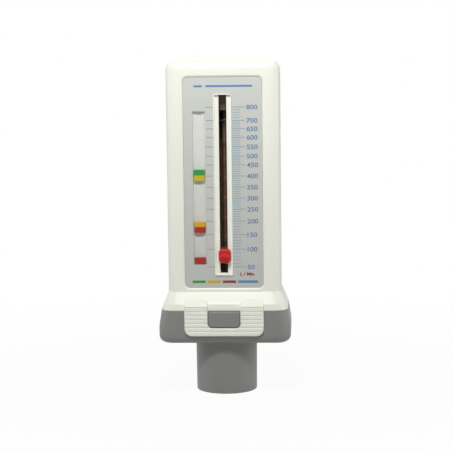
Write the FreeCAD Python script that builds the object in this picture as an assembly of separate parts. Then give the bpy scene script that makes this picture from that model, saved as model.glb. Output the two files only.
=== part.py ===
import FreeCAD, Part
import math
import os

# Peak flow meter, upright as it is held, in millimetres.
# The front faces -Y, +Z is up, and the origin is the centre of the mouthpiece spigot's lower rim.
# Blown air rises through the grey spigot, pushes a piston up a slotted barrel against a light
# return spring and leaves through the slot; the piston carries a red pointer up the scale.

V = FreeCAD.Vector
PART_DIR = "parts"

# casing, a white clamshell that flares into a skirt above the grey base
CASE_WIDTH = 51.9
CASE_DEPTH = 30.0
CASE_TOP = 154.1
CASE_CORNER = 4.4
CASE_TOP_ROUND = 4.2
CASE_WALL = 2.2
INNER_LEAN = 1.0
FRONT_WALL = 2.8
SLOPE_TOP = 47.9
SLOPE_LOW = 42.9
SLOPE_CORNER = 5.4
SKIRT_LOW = 39.9
SKIRT_WIDTH = 58.2
SKIRT_DEPTH = 38.6
SKIRT_CORNER = 6.2
SKIRT_LEAN_SIDE = 1.2
SKIRT_LEAN_FRONT = 0.6

# grey base with the mouthpiece spigot
BASE_MID = 32.0
BASE_WIDTH = 60.8
BASE_DEPTH = 39.2
BASE_CORNER = 6.8
BASE_BOTTOM = 24.5
BASE_BOTTOM_ROUND = 3.4
BASE_WALL = 2.2
BASE_FLOOR = 2.4
BASE_LIP = 1.5
BASE_LIP_WALL = 1.3
SPIGOT_RADIUS = 14.3
SPIGOT_LEAD_RADIUS = 14.1
SPIGOT_LEAD = 6.0
SPIGOT_RIM_CHAMFER = 0.5
SPIGOT_BORE = 12.3
COLLAR_RADIUS = 14.2
COLLAR_BORE = 12.0
COLLAR_TOP = 42.0
BASE_RIB = 1.6
BASE_RIB_TOP = 37.0
LUG_WIDTH = 14.4
LUG_LOW = 32.4
LUG_TOP = 39.5
LUG_PROUD = 1.2
LUG_CHAMFER = 0.9
LUG_CORNER = 1.4

# scale plate and the pointer slot's frame
PLATE_WIDTH = 35.9
PLATE_LOW = 49.9
PLATE_TOP = 146.1
PLATE_CORNER = 2.2
PLATE_THICK = 0.6
PLATE_RECESS = 0.5
FRAME_WIDTH = 8.3
FRAME_LOW = 55.6
FRAME_TOP = 138.6
FRAME_PROUD = 0.8
FRAME_RIM = 0.5
FRAME_LEDGE_DEPTH = 1.2
FRAME_FLANGE = 1.0
FRAME_FLANGE_THICK = 0.8
SLOT_WIDTH = 3.5
SLOT_LOW = 56.6
SLOT_TOP = 138.0

# marker track beside the slot, with three sliding zone markers
TRACK_X = -10.9
TRACK_WINDOW = 5.9
TRACK_LOW = 60.6
TRACK_TOP = 130.7
TRACK_LAND = 0.6
TRACK_END = 2.0
TRACK_DEPTH = 2.3
TRACK_HOLLOW = 0.6
MARKER_WIDTH = 5.0
MARKER_PROUD = 0.1
MARKER_FLANGE = 0.4
MARKER_FLANGE_THICK = 0.4
UPPER_MARKER_TOP = 104.1
UPPER_MARKER_JOIN = 101.6
UPPER_MARKER_LOW = 99.0
MIDDLE_MARKER_TOP = 80.2
MIDDLE_MARKER_JOIN = 77.9
MIDDLE_MARKER_LOW = 75.2
LOWER_MARKER_HEIGHT = 2.5
LOWER_MARKER_REST = 0.7

# pointer
KNOB_WIDTH = 5.5
KNOB_SHIFT = 0.4
KNOB_LOW = 61.45
KNOB_HEIGHT = 6.4
KNOB_PROUD = 2.6
KNOB_CORNER = 1.5
KNOB_TAPER = 0.7
RIDGE_RISE = 1.5
RIDGE_BAR = 0.55
RIDGE_HEIGHT = 0.35
NECK_WIDTH = 2.8
NECK_HEIGHT = 4.5
SHOE_WIDTH = 6.4
SHOE_HEIGHT = 6.9
SHOE_THICK = 1.2
SHOE_ARM_SLIT = 0.5
SHOE_ARM = 0.7
TRAVEL_UP = 69.8
TRAVEL_DOWN = 4.5

# barrel, piston, rod and spring
BARREL_WALL = 1.4
BARREL_LOW = 43.4
BARREL_TOP = 149.5
BARREL_FLAT = 10.0
BARREL_CHANNEL_END = 0.3
FLANGE_WIDTH = 34.0
FLANGE_CORNER = 3.0
FLANGE_THICK = 2.0
PISTON_GAP = 0.3
PISTON_CROWN = 1.4
PISTON_SKIRT = 4.0
PISTON_SKIRT_WALL = 0.9
PISTON_HUB_RADIUS = 3.0
PISTON_HUB_RISE = 6.0
ROD_RADIUS = 1.25
ROD_LOW = 40.2
ROD_TOP = 149.0
NUT_ACROSS = 5.0
NUT_HEIGHT = 1.8
SPRING_WIRE = 0.4
SPRING_RADIUS = 4.4
SPRING_TURNS = 10
SPRING_CHORDS = 10
WIRE_SIDES = 5
SEAT_THICK = 0.6
SEAT_RADIUS = 5.6
PLUG_WALL = 4.6
PLUG_POCKET_TOP = 147.5
BUFFER_THICK = 1.5
BUFFER_GAP = 2.0
SPIDER_RING_HEIGHT = 3.0
SPIDER_RING_WALL = 1.2
SPIDER_HUB_RADIUS = 3.2
SPIDER_HUB_LOW = 41.9
SPIDER_SPOKE = 1.6
SPIDER_SPOKES = 3
WASHER_THICK = 1.2

# latches, front and rear
LATCH_WIDTH = 36.3
LATCH_LOW = 28.3
LATCH_BREAK_DROP = 1.5
LATCH_TIP_RISE = 1.4
LATCH_TIP_THICK = 0.5
LATCH_CORNER = 3.4
LATCH_THICK = 1.3
WINDOW_WIDTH = 15.0
WINDOW_CORNER = 1.4
RIDGE_PITCH = 1.84
RIDGE_DEPTH = 0.28
RIDGE_COUNT = 6
KNUCKLE_DEPTH = 17.0
KNUCKLE_RISE = 0.6
KNUCKLE_RADIUS = 1.0
TRUNNION_RADIUS = 0.55
TRUNNION_LENGTH = 1.4
LATCH_BLOCK = 2.6

# joining pegs and barrel cradles inside the casing
PEG_X = 20.4
PEG_HEIGHTS = (62.0, 142.0)
PEG_RADIUS = 1.0
PEG_LENGTH = 3.0
PEG_POST = 2.1
CRADLE_HEIGHTS = (45.4, 100.0)
CRADLE_THICK = 1.6

# flat facets that stand for a rounded corner and for a rounded edge
CORNER_CHORDS = 6
EDGE_BANDS = 3

# clearances
FIT = 0.05
SLIDE = 0.1
SEAT_GAP = 0.1
CLEAR = 0.2
REST_GAP = 0.3
SWING = 0.35

# places worked out from the sizes above
FACE = -CASE_DEPTH / 2
BACK = CASE_DEPTH / 2
INNER_FRONT = FACE + FRONT_WALL
INNER_BACK = BACK - CASE_WALL
PLATE_FACE = FACE + PLATE_RECESS
PLATE_BACK = PLATE_FACE + PLATE_THICK
FRAME_FACE = PLATE_FACE - FRAME_PROUD
LEDGE = FRAME_FACE + FRAME_LEDGE_DEPTH
SLOPE_WIDTH = SKIRT_WIDTH - 2 * SKIRT_LEAN_SIDE
SLOPE_DEPTH = SKIRT_DEPTH - 2 * SKIRT_LEAN_FRONT
KNUCKLE_HEIGHT = SLOPE_LOW + KNUCKLE_RISE
LATCH_BREAK = KNUCKLE_HEIGHT - LATCH_BREAK_DROP
LATCH_TIP = KNUCKLE_HEIGHT + LATCH_TIP_RISE
BARREL_FACE = INNER_FRONT
BARREL_RADIUS = -BARREL_FACE
BARREL_BORE = BARREL_RADIUS - BARREL_WALL
FLANGE_DEPTH = 2 * BARREL_RADIUS
PISTON_RADIUS = BARREL_BORE - PISTON_GAP
BUFFER_RADIUS = BARREL_BORE - BUFFER_GAP
PLUG_POCKET_RADIUS = BARREL_BORE - PLUG_WALL
LOWER_MARKER_LOW = TRACK_LOW + LOWER_MARKER_REST
LOWER_MARKER_TOP = LOWER_MARKER_LOW + LOWER_MARKER_HEIGHT
CHANNEL_FACE = BARREL_FACE + BARREL_RADIUS - BARREL_BORE
SHOE_FACE = CHANNEL_FACE + SLIDE
SHOE_BACK = SHOE_FACE + SHOE_THICK
KNOB_BACK = LEDGE - CLEAR
KNOB_FACE = PLATE_FACE - KNOB_PROUD
KNOB_MID = KNOB_LOW + KNOB_HEIGHT / 2
SHOE_LOW = KNOB_MID - SHOE_HEIGHT / 2
PISTON_TOP = SHOE_LOW - TRAVEL_DOWN - CLEAR
PISTON_STROKE = TRAVEL_DOWN + TRAVEL_UP
WASHER_TOP = PISTON_TOP - PISTON_SKIRT - REST_GAP
SPIDER_HUB_TOP = WASHER_TOP - WASHER_THICK
BUFFER_LOW = PISTON_TOP + PISTON_STROKE + REST_GAP
PLUG_LOW = BUFFER_LOW + BUFFER_THICK
SEAT_TOP = PLUG_POCKET_TOP
SEAT_LOW = SEAT_TOP - SEAT_THICK
BASE_FRONT = -BASE_DEPTH / 2
LATCH_BACK = BASE_FRONT - SEAT_GAP
LATCH_FACE = LATCH_BACK - LATCH_THICK
CASE_INNER_TOP = CASE_TOP - CASE_WALL


def box(x0, x1, y0, y1, z0, z1):
    """Upright box between two corners."""
    return Part.makeBox(x1 - x0, y1 - y0, z1 - z0, V(x0, y0, z0))


def disc(radius, z0, z1):
    """Upright cylinder on the barrel's axis."""
    return Part.makeCylinder(radius, z1 - z0, V(0, 0, z0), V(0, 0, 1))


def ring(outer, inner, z0, z1):
    """Upright ring on the barrel's axis."""
    return disc(outer, z0, z1).cut(disc(inner, z0, z1))


def corner_points(width, height, radius):
    """Points of a rounded rectangle, anticlockwise, with each corner's arc drawn in equal chords."""
    pairs = []
    for index, (sx, sy) in enumerate([(1, 1), (-1, 1), (-1, -1), (1, -1)]):
        for step in range(CORNER_CHORDS + 1):
            angle = math.pi / 2 * (index + step / CORNER_CHORDS)
            pairs.append((sx * (width / 2 - radius) + radius * math.cos(angle),
                          sy * (height / 2 - radius) + radius * math.sin(angle)))
    return pairs


def plan_outline(width, depth, radius, z, y_mid=0.0):
    """Rounded rectangle lying flat at height z."""
    return [V(x, y + y_mid, z) for x, y in corner_points(width, depth, radius)]


def flat_face(points):
    """Flat face inside a closed run of points."""
    return Part.Face(Part.makePolygon(points + points[:1]))


def stack(*outlines):
    """Solid with flat sides between matching outlines, lowest first."""
    faces = [flat_face(outlines[0]), flat_face(outlines[-1])]
    for below, above in zip(outlines, outlines[1:]):
        for i in range(len(below)):
            j = (i + 1) % len(below)
            faces.append(flat_face([below[i], below[j], above[j], above[i]]))
    solid = Part.makeSolid(Part.makeShell(faces))
    if solid.Volume < 0:
        solid.reverse()
    return solid


def front_block(width, z0, z1, radius, y0, y1, x_mid=0.0):
    """Block with a rounded outline as seen from the front, between two depths."""
    z_mid = (z0 + z1) / 2
    points = [V(x + x_mid, y0, z + z_mid) for x, z in corner_points(width, z1 - z0, radius)]
    return flat_face(points).extrude(V(0, y1 - y0, 0))


def edge_steps(radius):
    """Inset and height of each flat band of a rounded edge, from its wall to its flat."""
    angles = [math.pi / 2 * step / EDGE_BANDS for step in range(EDGE_BANDS + 1)]
    return [(radius * (1 - math.cos(a)), radius * math.sin(a)) for a in angles]


def mirrored(shape):
    """The same shape on the rear of the meter."""
    return shape.mirror(V(0, 0, 0), V(0, 1, 0))


def casing_block():
    """Outer form of the closed casing, from the skirt's lower edge to the rounded top."""
    outlines = [plan_outline(SKIRT_WIDTH, SKIRT_DEPTH, SKIRT_CORNER, SKIRT_LOW),
                plan_outline(SLOPE_WIDTH, SLOPE_DEPTH, SLOPE_CORNER, SLOPE_LOW),
                plan_outline(CASE_WIDTH, CASE_DEPTH, CASE_CORNER, SLOPE_TOP)]
    for inset, rise in edge_steps(CASE_TOP_ROUND):
        outlines.append(plan_outline(CASE_WIDTH - 2 * inset, CASE_DEPTH - 2 * inset, CASE_CORNER - inset,
                                     CASE_TOP - CASE_TOP_ROUND + rise))
    return stack(*outlines)


def casing_cavity():
    """Space inside the casing, with a thicker front wall behind the scale plate."""
    wall = 2 * CASE_WALL
    depth = INNER_BACK - INNER_FRONT
    middle = (INNER_BACK + INNER_FRONT) / 2
    neck = SLOPE_TOP - 1.5 * INNER_LEAN
    room_outline = (CASE_WIDTH - wall, depth, CASE_CORNER - CASE_WALL)
    return stack(plan_outline(SKIRT_WIDTH - wall, SKIRT_DEPTH - wall, SKIRT_CORNER - CASE_WALL, SKIRT_LOW),
                 plan_outline(SLOPE_WIDTH - wall, SLOPE_DEPTH - wall, SLOPE_CORNER - CASE_WALL,
                              SLOPE_LOW - INNER_LEAN),
                 plan_outline(*room_outline, neck, middle),
                 plan_outline(*room_outline, CASE_INNER_TOP, middle))


def latch_block():
    """Solid behind the slope that carries one latch's knuckles."""
    half = LATCH_WIDTH / 2 + TRUNNION_LENGTH + CASE_WALL / 2
    return box(-half, half, -SKIRT_DEPTH / 2, -KNUCKLE_DEPTH + LATCH_BLOCK, SKIRT_LOW + BASE_LIP + CLEAR,
               SLOPE_TOP - INNER_LEAN)


def latch_pockets():
    """Pockets and trunnion holes of one latch's two legs."""
    cuts = []
    for side in (-1, 1):
        inner = WINDOW_WIDTH / 2 - CLEAR
        outer = LATCH_WIDTH / 2 + CLEAR
        x0, x1 = (inner, outer) if side > 0 else (-outer, -inner)
        pocket = Part.makeCylinder(KNUCKLE_RADIUS + SWING, x1 - x0, V(x0, -KNUCKLE_DEPTH, KNUCKLE_HEIGHT),
                                   V(1, 0, 0))
        mouth = box(x0, x1, -KNUCKLE_DEPTH - 4.0, -KNUCKLE_DEPTH,
                    KNUCKLE_HEIGHT - KNUCKLE_RADIUS - SWING, KNUCKLE_HEIGHT + KNUCKLE_RADIUS + SWING)
        hole = Part.makeCylinder(TRUNNION_RADIUS + FIT, outer + TRUNNION_LENGTH - inner,
                                 V(side * inner, -KNUCKLE_DEPTH, KNUCKLE_HEIGHT), V(side, 0, 0))
        cuts += [pocket, mouth, hole]
    return cuts


def cradles():
    """Ribs across the casing that hold the barrel's sides, front and back."""
    ribs = []
    for low in CRADLE_HEIGHTS:
        rib = box(-SKIRT_WIDTH / 2, SKIRT_WIDTH / 2, FACE, BACK, low, low + CRADLE_THICK)
        ribs.append(rib.cut(box(-BARREL_RADIUS, BARREL_RADIUS, BARREL_FACE, BARREL_RADIUS, low,
                                low + CRADLE_THICK)))
    return ribs


def pegs(y0, y1):
    """Round joining pegs beside the barrel, between two depths."""
    return [Part.makeCylinder(PEG_RADIUS, y1 - y0, V(side * PEG_X, y0, z), V(0, 1, 0))
            for z in PEG_HEIGHTS for side in (-1, 1)]


def peg_posts(y0, y1):
    """Square posts that carry the pegs or their holes, between two depths."""
    return [box(side * PEG_X - PEG_POST, side * PEG_X + PEG_POST, y0, y1, z - PEG_POST, z + PEG_POST)
            for z in PEG_HEIGHTS for side in (-1, 1)]


def plate_pocket():
    """Recess for the scale plate and the frame's flange, and the frame's own opening."""
    plate = front_block(PLATE_WIDTH + 2 * SEAT_GAP, PLATE_LOW - SEAT_GAP, PLATE_TOP + SEAT_GAP,
                        PLATE_CORNER + SEAT_GAP, FACE - 1.0, PLATE_BACK)
    reach = FRAME_WIDTH / 2 + FRAME_FLANGE + SEAT_GAP
    flange = box(-reach, reach, PLATE_BACK, PLATE_BACK + FRAME_FLANGE_THICK,
                 FRAME_LOW - FRAME_FLANGE - SEAT_GAP, FRAME_TOP + FRAME_FLANGE + SEAT_GAP)
    half = FRAME_WIDTH / 2 + FIT
    opening = box(-half, half, PLATE_BACK, INNER_FRONT + 1.0, FRAME_LOW - FIT, FRAME_TOP + FIT)
    return [plate, flange, opening]


def track_outline():
    """Half width, lowest and highest place of the marker track."""
    half = TRACK_WINDOW / 2 + MARKER_FLANGE + TRACK_LAND
    return half, TRACK_LOW - TRACK_END, TRACK_TOP + TRACK_END


def make_casing():
    """Front and rear halves of the casing, parted at the middle of its depth."""
    outside = casing_block()
    shell = outside.cut(casing_cavity())
    inside = [latch_block(), mirrored(latch_block())] + cradles()
    shell = shell.fuse([piece.common(outside) for piece in inside])
    latch_cuts = latch_pockets()
    shell = shell.cut(latch_cuts + [mirrored(cut) for cut in latch_cuts])
    front_half = box(-CASE_WIDTH, CASE_WIDTH, -CASE_DEPTH, 0, 0, 2 * CASE_TOP)
    rear_half = box(-CASE_WIDTH, CASE_WIDTH, 0, CASE_DEPTH, 0, 2 * CASE_TOP)

    half, low, high = track_outline()
    track_pocket = box(TRACK_X - half - SEAT_GAP, TRACK_X + half + SEAT_GAP, PLATE_BACK,
                       PLATE_BACK + TRACK_DEPTH, low - SEAT_GAP, high + SEAT_GAP)
    front = shell.common(front_half)
    front = front.fuse(peg_posts(INNER_FRONT - 0.5, 0) + pegs(0, PEG_LENGTH))
    front = front.cut(plate_pocket() + [track_pocket])

    rear = shell.common(rear_half)
    rear = rear.fuse(peg_posts(0, INNER_BACK + 0.5)).cut(pegs(0, PEG_LENGTH + CLEAR))
    return {"front_cover": front.removeSplitter(), "rear_cover": rear.removeSplitter()}


def make_plate():
    """Flat scale plate with openings for the slot frame and the markers."""
    plate = front_block(PLATE_WIDTH, PLATE_LOW, PLATE_TOP, PLATE_CORNER, PLATE_FACE, PLATE_BACK)
    half = FRAME_WIDTH / 2 + FIT
    frame = box(-half, half, FACE, PLATE_BACK + 1.0, FRAME_LOW - FIT, FRAME_TOP + FIT)
    reach = TRACK_WINDOW / 2
    window = box(TRACK_X - reach, TRACK_X + reach, FACE, PLATE_BACK + 1.0, TRACK_LOW, TRACK_TOP)
    return {"scale_plate": plate.cut([frame, window])}


def make_frame():
    """Raised frame round the slot, held by a flange under the plate."""
    half = FRAME_WIDTH / 2
    frame = box(-half, half, FRAME_FACE, INNER_FRONT, FRAME_LOW, FRAME_TOP)
    reach = half + FRAME_FLANGE
    flange = box(-reach, reach, PLATE_BACK, PLATE_BACK + FRAME_FLANGE_THICK,
                 FRAME_LOW - FRAME_FLANGE, FRAME_TOP + FRAME_FLANGE)
    inner = half - FRAME_RIM
    ledge = box(-inner, inner, FRAME_FACE, LEDGE, FRAME_LOW + FRAME_RIM, FRAME_TOP - FRAME_RIM)
    slot = box(-SLOT_WIDTH / 2, SLOT_WIDTH / 2, FRAME_FACE, INNER_FRONT, SLOT_LOW, SLOT_TOP)
    return {"slot_frame": frame.fuse(flange).cut([ledge, slot])}


def make_track():
    """Trough behind the plate, hollowed along its middle, that the markers slide in."""
    half, low, high = track_outline()
    floor = PLATE_BACK + MARKER_FLANGE_THICK + 2 * SLIDE
    body = box(TRACK_X - half, TRACK_X + half, PLATE_BACK, PLATE_BACK + TRACK_DEPTH, low, high)
    reach = TRACK_WINDOW / 2 + MARKER_FLANGE
    trough = box(TRACK_X - reach, TRACK_X + reach, PLATE_BACK, floor, TRACK_LOW, TRACK_TOP)
    chord = MARKER_WIDTH / 2
    radius = (chord ** 2 + TRACK_HOLLOW ** 2) / (2 * TRACK_HOLLOW)
    hollow = Part.makeCylinder(radius, TRACK_TOP - TRACK_LOW,
                               V(TRACK_X, floor + TRACK_HOLLOW - radius, TRACK_LOW), V(0, 0, 1))
    return {"marker_track": body.cut([trough, hollow])}


def marker(low, high):
    """One colour of a zone marker: a tab in the window on a flange under the plate's edges."""
    half = MARKER_WIDTH / 2
    flange_face = PLATE_BACK + SLIDE
    tab = box(TRACK_X - half, TRACK_X + half, PLATE_FACE - MARKER_PROUD, flange_face, low, high)
    reach = TRACK_WINDOW / 2 + MARKER_FLANGE - SLIDE
    flange = box(TRACK_X - reach, TRACK_X + reach, flange_face, flange_face + MARKER_FLANGE_THICK,
                 low, high)
    return tab.fuse(flange).removeSplitter()


def make_markers():
    """Three sliding markers; the upper and the middle one have two colours each."""
    return {"upper_marker_green": marker(UPPER_MARKER_JOIN, UPPER_MARKER_TOP),
            "upper_marker_yellow": marker(UPPER_MARKER_LOW, UPPER_MARKER_JOIN),
            "middle_marker_amber": marker(MIDDLE_MARKER_JOIN, MIDDLE_MARKER_TOP),
            "middle_marker_red": marker(MIDDLE_MARKER_LOW, MIDDLE_MARKER_JOIN),
            "lower_marker_red": marker(LOWER_MARKER_LOW, LOWER_MARKER_TOP)}


def make_pointer():
    """Knob with a chevron ridge and a neck through the slot, and the shoe inside the barrel."""
    def outline(inset, y):
        pairs = corner_points(KNOB_WIDTH - 2 * inset, KNOB_HEIGHT - 2 * inset, KNOB_CORNER - inset / 2)
        return [V(x + KNOB_SHIFT, y, z + KNOB_MID) for x, z in pairs]

    shoulder = KNOB_FACE + KNOB_TAPER
    knob = stack(outline(0, KNOB_BACK), outline(0, shoulder), outline(KNOB_TAPER, KNOB_FACE))
    half = KNOB_WIDTH / 2 - KNOB_TAPER
    for side in (-1, 1):
        foot = V(KNOB_SHIFT + side * half, KNOB_FACE, KNOB_MID)
        peak = V(KNOB_SHIFT, KNOB_FACE, KNOB_MID + RIDGE_RISE)
        rise = V(0, 0, RIDGE_BAR)
        side_face = flat_face([foot, peak, peak + rise, foot + rise])
        knob = knob.fuse(side_face.extrude(V(0, -RIDGE_HEIGHT, 0)))
    neck_low = KNOB_MID - NECK_HEIGHT / 2
    neck = box(-NECK_WIDTH / 2, NECK_WIDTH / 2, KNOB_BACK, SHOE_BACK, neck_low, neck_low + NECK_HEIGHT)
    knob = knob.fuse(neck).removeSplitter()

    half = SHOE_WIDTH / 2
    shoe = box(-half, half, SHOE_FACE, SHOE_BACK, SHOE_LOW, SHOE_LOW + SHOE_HEIGHT)
    shoe = shoe.cut(box(-NECK_WIDTH / 2, NECK_WIDTH / 2, SHOE_FACE, SHOE_BACK, neck_low,
                        neck_low + NECK_HEIGHT))
    for side in (-1, 1):
        outer = side * (half - SHOE_ARM)
        inner = outer - side * SHOE_ARM_SLIT
        shoe = shoe.cut(box(min(inner, outer), max(inner, outer), SHOE_FACE, SHOE_BACK,
                            SHOE_LOW + SHOE_ARM, SHOE_LOW + SHOE_HEIGHT - SHOE_ARM))
    return {"pointer_knob": knob, "pointer_shoe": shoe}


def make_barrel():
    """Slotted barrel with a flat front, a guide channel behind the slot and a flange at its foot."""
    tube = disc(BARREL_RADIUS, BARREL_LOW, BARREL_TOP)
    flat = box(-BARREL_FLAT / 2, BARREL_FLAT / 2, BARREL_FACE, 0, BARREL_LOW, BARREL_TOP)
    flange = flat_face(plan_outline(FLANGE_WIDTH, FLANGE_DEPTH, FLANGE_CORNER, BARREL_LOW))
    flange = flange.extrude(V(0, 0, FLANGE_THICK))
    bore = disc(BARREL_BORE, BARREL_LOW, BARREL_TOP)
    slot = box(-SLOT_WIDTH / 2, SLOT_WIDTH / 2, BARREL_FACE, 0, SLOT_LOW, SLOT_TOP)
    half = SHOE_WIDTH / 2 + CLEAR
    channel = box(-half, half, CHANNEL_FACE, 0, SHOE_LOW - TRAVEL_DOWN - BARREL_CHANNEL_END,
                  SHOE_LOW + SHOE_HEIGHT + TRAVEL_UP + BARREL_CHANNEL_END)
    barrel = tube.fuse([flat, flange]).cut([bore, slot, channel])
    return {"barrel": barrel.removeSplitter()}


def make_piston():
    """Cup piston on a long hub that runs on the rod."""
    crown = disc(PISTON_RADIUS, PISTON_TOP - PISTON_SKIRT, PISTON_TOP)
    hollow = disc(PISTON_RADIUS - PISTON_SKIRT_WALL, PISTON_TOP - PISTON_SKIRT, PISTON_TOP - PISTON_CROWN)
    hub = disc(PISTON_HUB_RADIUS, PISTON_TOP - PISTON_SKIRT, PISTON_TOP + PISTON_HUB_RISE)
    bore = disc(ROD_RADIUS + FIT, 0, CASE_TOP)
    return {"piston": crown.cut(hollow).fuse(hub).cut(bore).removeSplitter()}


def make_rod():
    """Steel guide rod and the nut that holds it to the inlet spider."""
    nut = flat_face([V(NUT_ACROSS / math.sqrt(3) * math.cos(math.radians(60 * i)),
                       NUT_ACROSS / math.sqrt(3) * math.sin(math.radians(60 * i)),
                       SPIDER_HUB_LOW - NUT_HEIGHT) for i in range(6)])
    nut = nut.extrude(V(0, 0, NUT_HEIGHT)).cut(disc(ROD_RADIUS, 0, CASE_TOP))
    return {"guide_rod": disc(ROD_RADIUS, ROD_LOW, ROD_TOP), "rod_nut": nut}


def make_spring():
    """Return spring: a coil of five-sided wire in short mitred chords, from piston to seat."""
    low = PISTON_TOP + SPRING_WIRE / 2
    length = SEAT_LOW - SPRING_WIRE / 2 - low
    count = SPRING_TURNS * SPRING_CHORDS
    centres = []
    for index in range(count + 1):
        turn = 2 * math.pi * index / SPRING_CHORDS
        centres.append(V(SPRING_RADIUS * math.cos(turn), SPRING_RADIUS * math.sin(turn),
                         low + length * index / count))
    outward = V(1, 0, 0)
    across = (centres[1] - centres[0]).cross(outward).normalize()
    section = []
    for index in range(WIRE_SIDES + 1):
        angle = 2 * math.pi * (index + 0.5) / WIRE_SIDES
        section.append(centres[0] + outward * (SPRING_WIRE / 2 * math.cos(angle))
                       + across * (SPRING_WIRE / 2 * math.sin(angle)))
    mitred = 1
    spring = Part.makePolygon(centres).makePipeShell([Part.makePolygon(section)], True, False, mitred)
    seat = ring(SEAT_RADIUS, ROD_RADIUS, SEAT_LOW, SEAT_TOP)
    return {"return_spring": spring, "spring_seat": seat}


def make_plug():
    """Plug that closes the barrel's top and holds the rod, and the buffer that stops the piston."""
    body = disc(BARREL_BORE, PLUG_LOW, BARREL_TOP).fuse(disc(BARREL_RADIUS, BARREL_TOP, CASE_INNER_TOP))
    pocket = disc(PLUG_POCKET_RADIUS, PLUG_LOW, PLUG_POCKET_TOP)
    rod_hole = disc(ROD_RADIUS, PLUG_LOW, ROD_TOP)
    half = SHOE_WIDTH / 2 + CLEAR
    notch = box(-half, half, -BARREL_RADIUS, SHOE_BACK + SWING, PLUG_LOW,
                SHOE_LOW + SHOE_HEIGHT + TRAVEL_UP + BARREL_CHANNEL_END)
    plug = body.cut([pocket, rod_hole, notch]).removeSplitter()
    buffer = ring(BUFFER_RADIUS, PLUG_POCKET_RADIUS, BUFFER_LOW, PLUG_LOW)
    return {"top_plug": plug, "top_buffer": buffer}


def make_spider():
    """Spoked inlet that holds the rod's foot, with the soft washer that the piston rests on."""
    top = BARREL_LOW + SPIDER_RING_HEIGHT
    rim = ring(BARREL_BORE, BARREL_BORE - SPIDER_RING_WALL, BARREL_LOW, top)
    hub = disc(SPIDER_HUB_RADIUS, SPIDER_HUB_LOW, SPIDER_HUB_TOP)
    spokes = []
    for index in range(SPIDER_SPOKES):
        spoke = box(0, BARREL_BORE - SPIDER_RING_WALL / 2, -SPIDER_SPOKE / 2, SPIDER_SPOKE / 2,
                    BARREL_LOW, top)
        spoke.rotate(V(0, 0, 0), V(0, 0, 1), 90 + 360 * index / SPIDER_SPOKES)
        spokes.append(spoke)
    spider = rim.fuse([hub] + spokes).cut(disc(ROD_RADIUS, 0, CASE_TOP))
    washer = ring(SPIDER_HUB_RADIUS, ROD_RADIUS, SPIDER_HUB_TOP, WASHER_TOP)
    seal = ring(COLLAR_RADIUS, COLLAR_BORE, COLLAR_TOP, BARREL_LOW)
    return {"inlet_spider": spider.removeSplitter(), "stop_washer": washer, "seal_ring": seal}


def lug():
    """Raised lug on the base's front that one latch holds, its upper edge bevelled."""
    face = BASE_FRONT - LUG_PROUD
    blank = front_block(LUG_WIDTH, LUG_LOW, LUG_TOP + LUG_CORNER, LUG_CORNER, face, BASE_FRONT + BASE_WALL)
    points = [V(-LUG_WIDTH / 2, BASE_FRONT + BASE_WALL, LUG_LOW),
              V(-LUG_WIDTH / 2, face, LUG_LOW),
              V(-LUG_WIDTH / 2, face, LUG_TOP - LUG_CHAMFER),
              V(-LUG_WIDTH / 2, BASE_FRONT, LUG_TOP),
              V(-LUG_WIDTH / 2, BASE_FRONT + BASE_WALL, LUG_TOP)]
    return flat_face(points).extrude(V(LUG_WIDTH, 0, 0)).common(blank)


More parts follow.
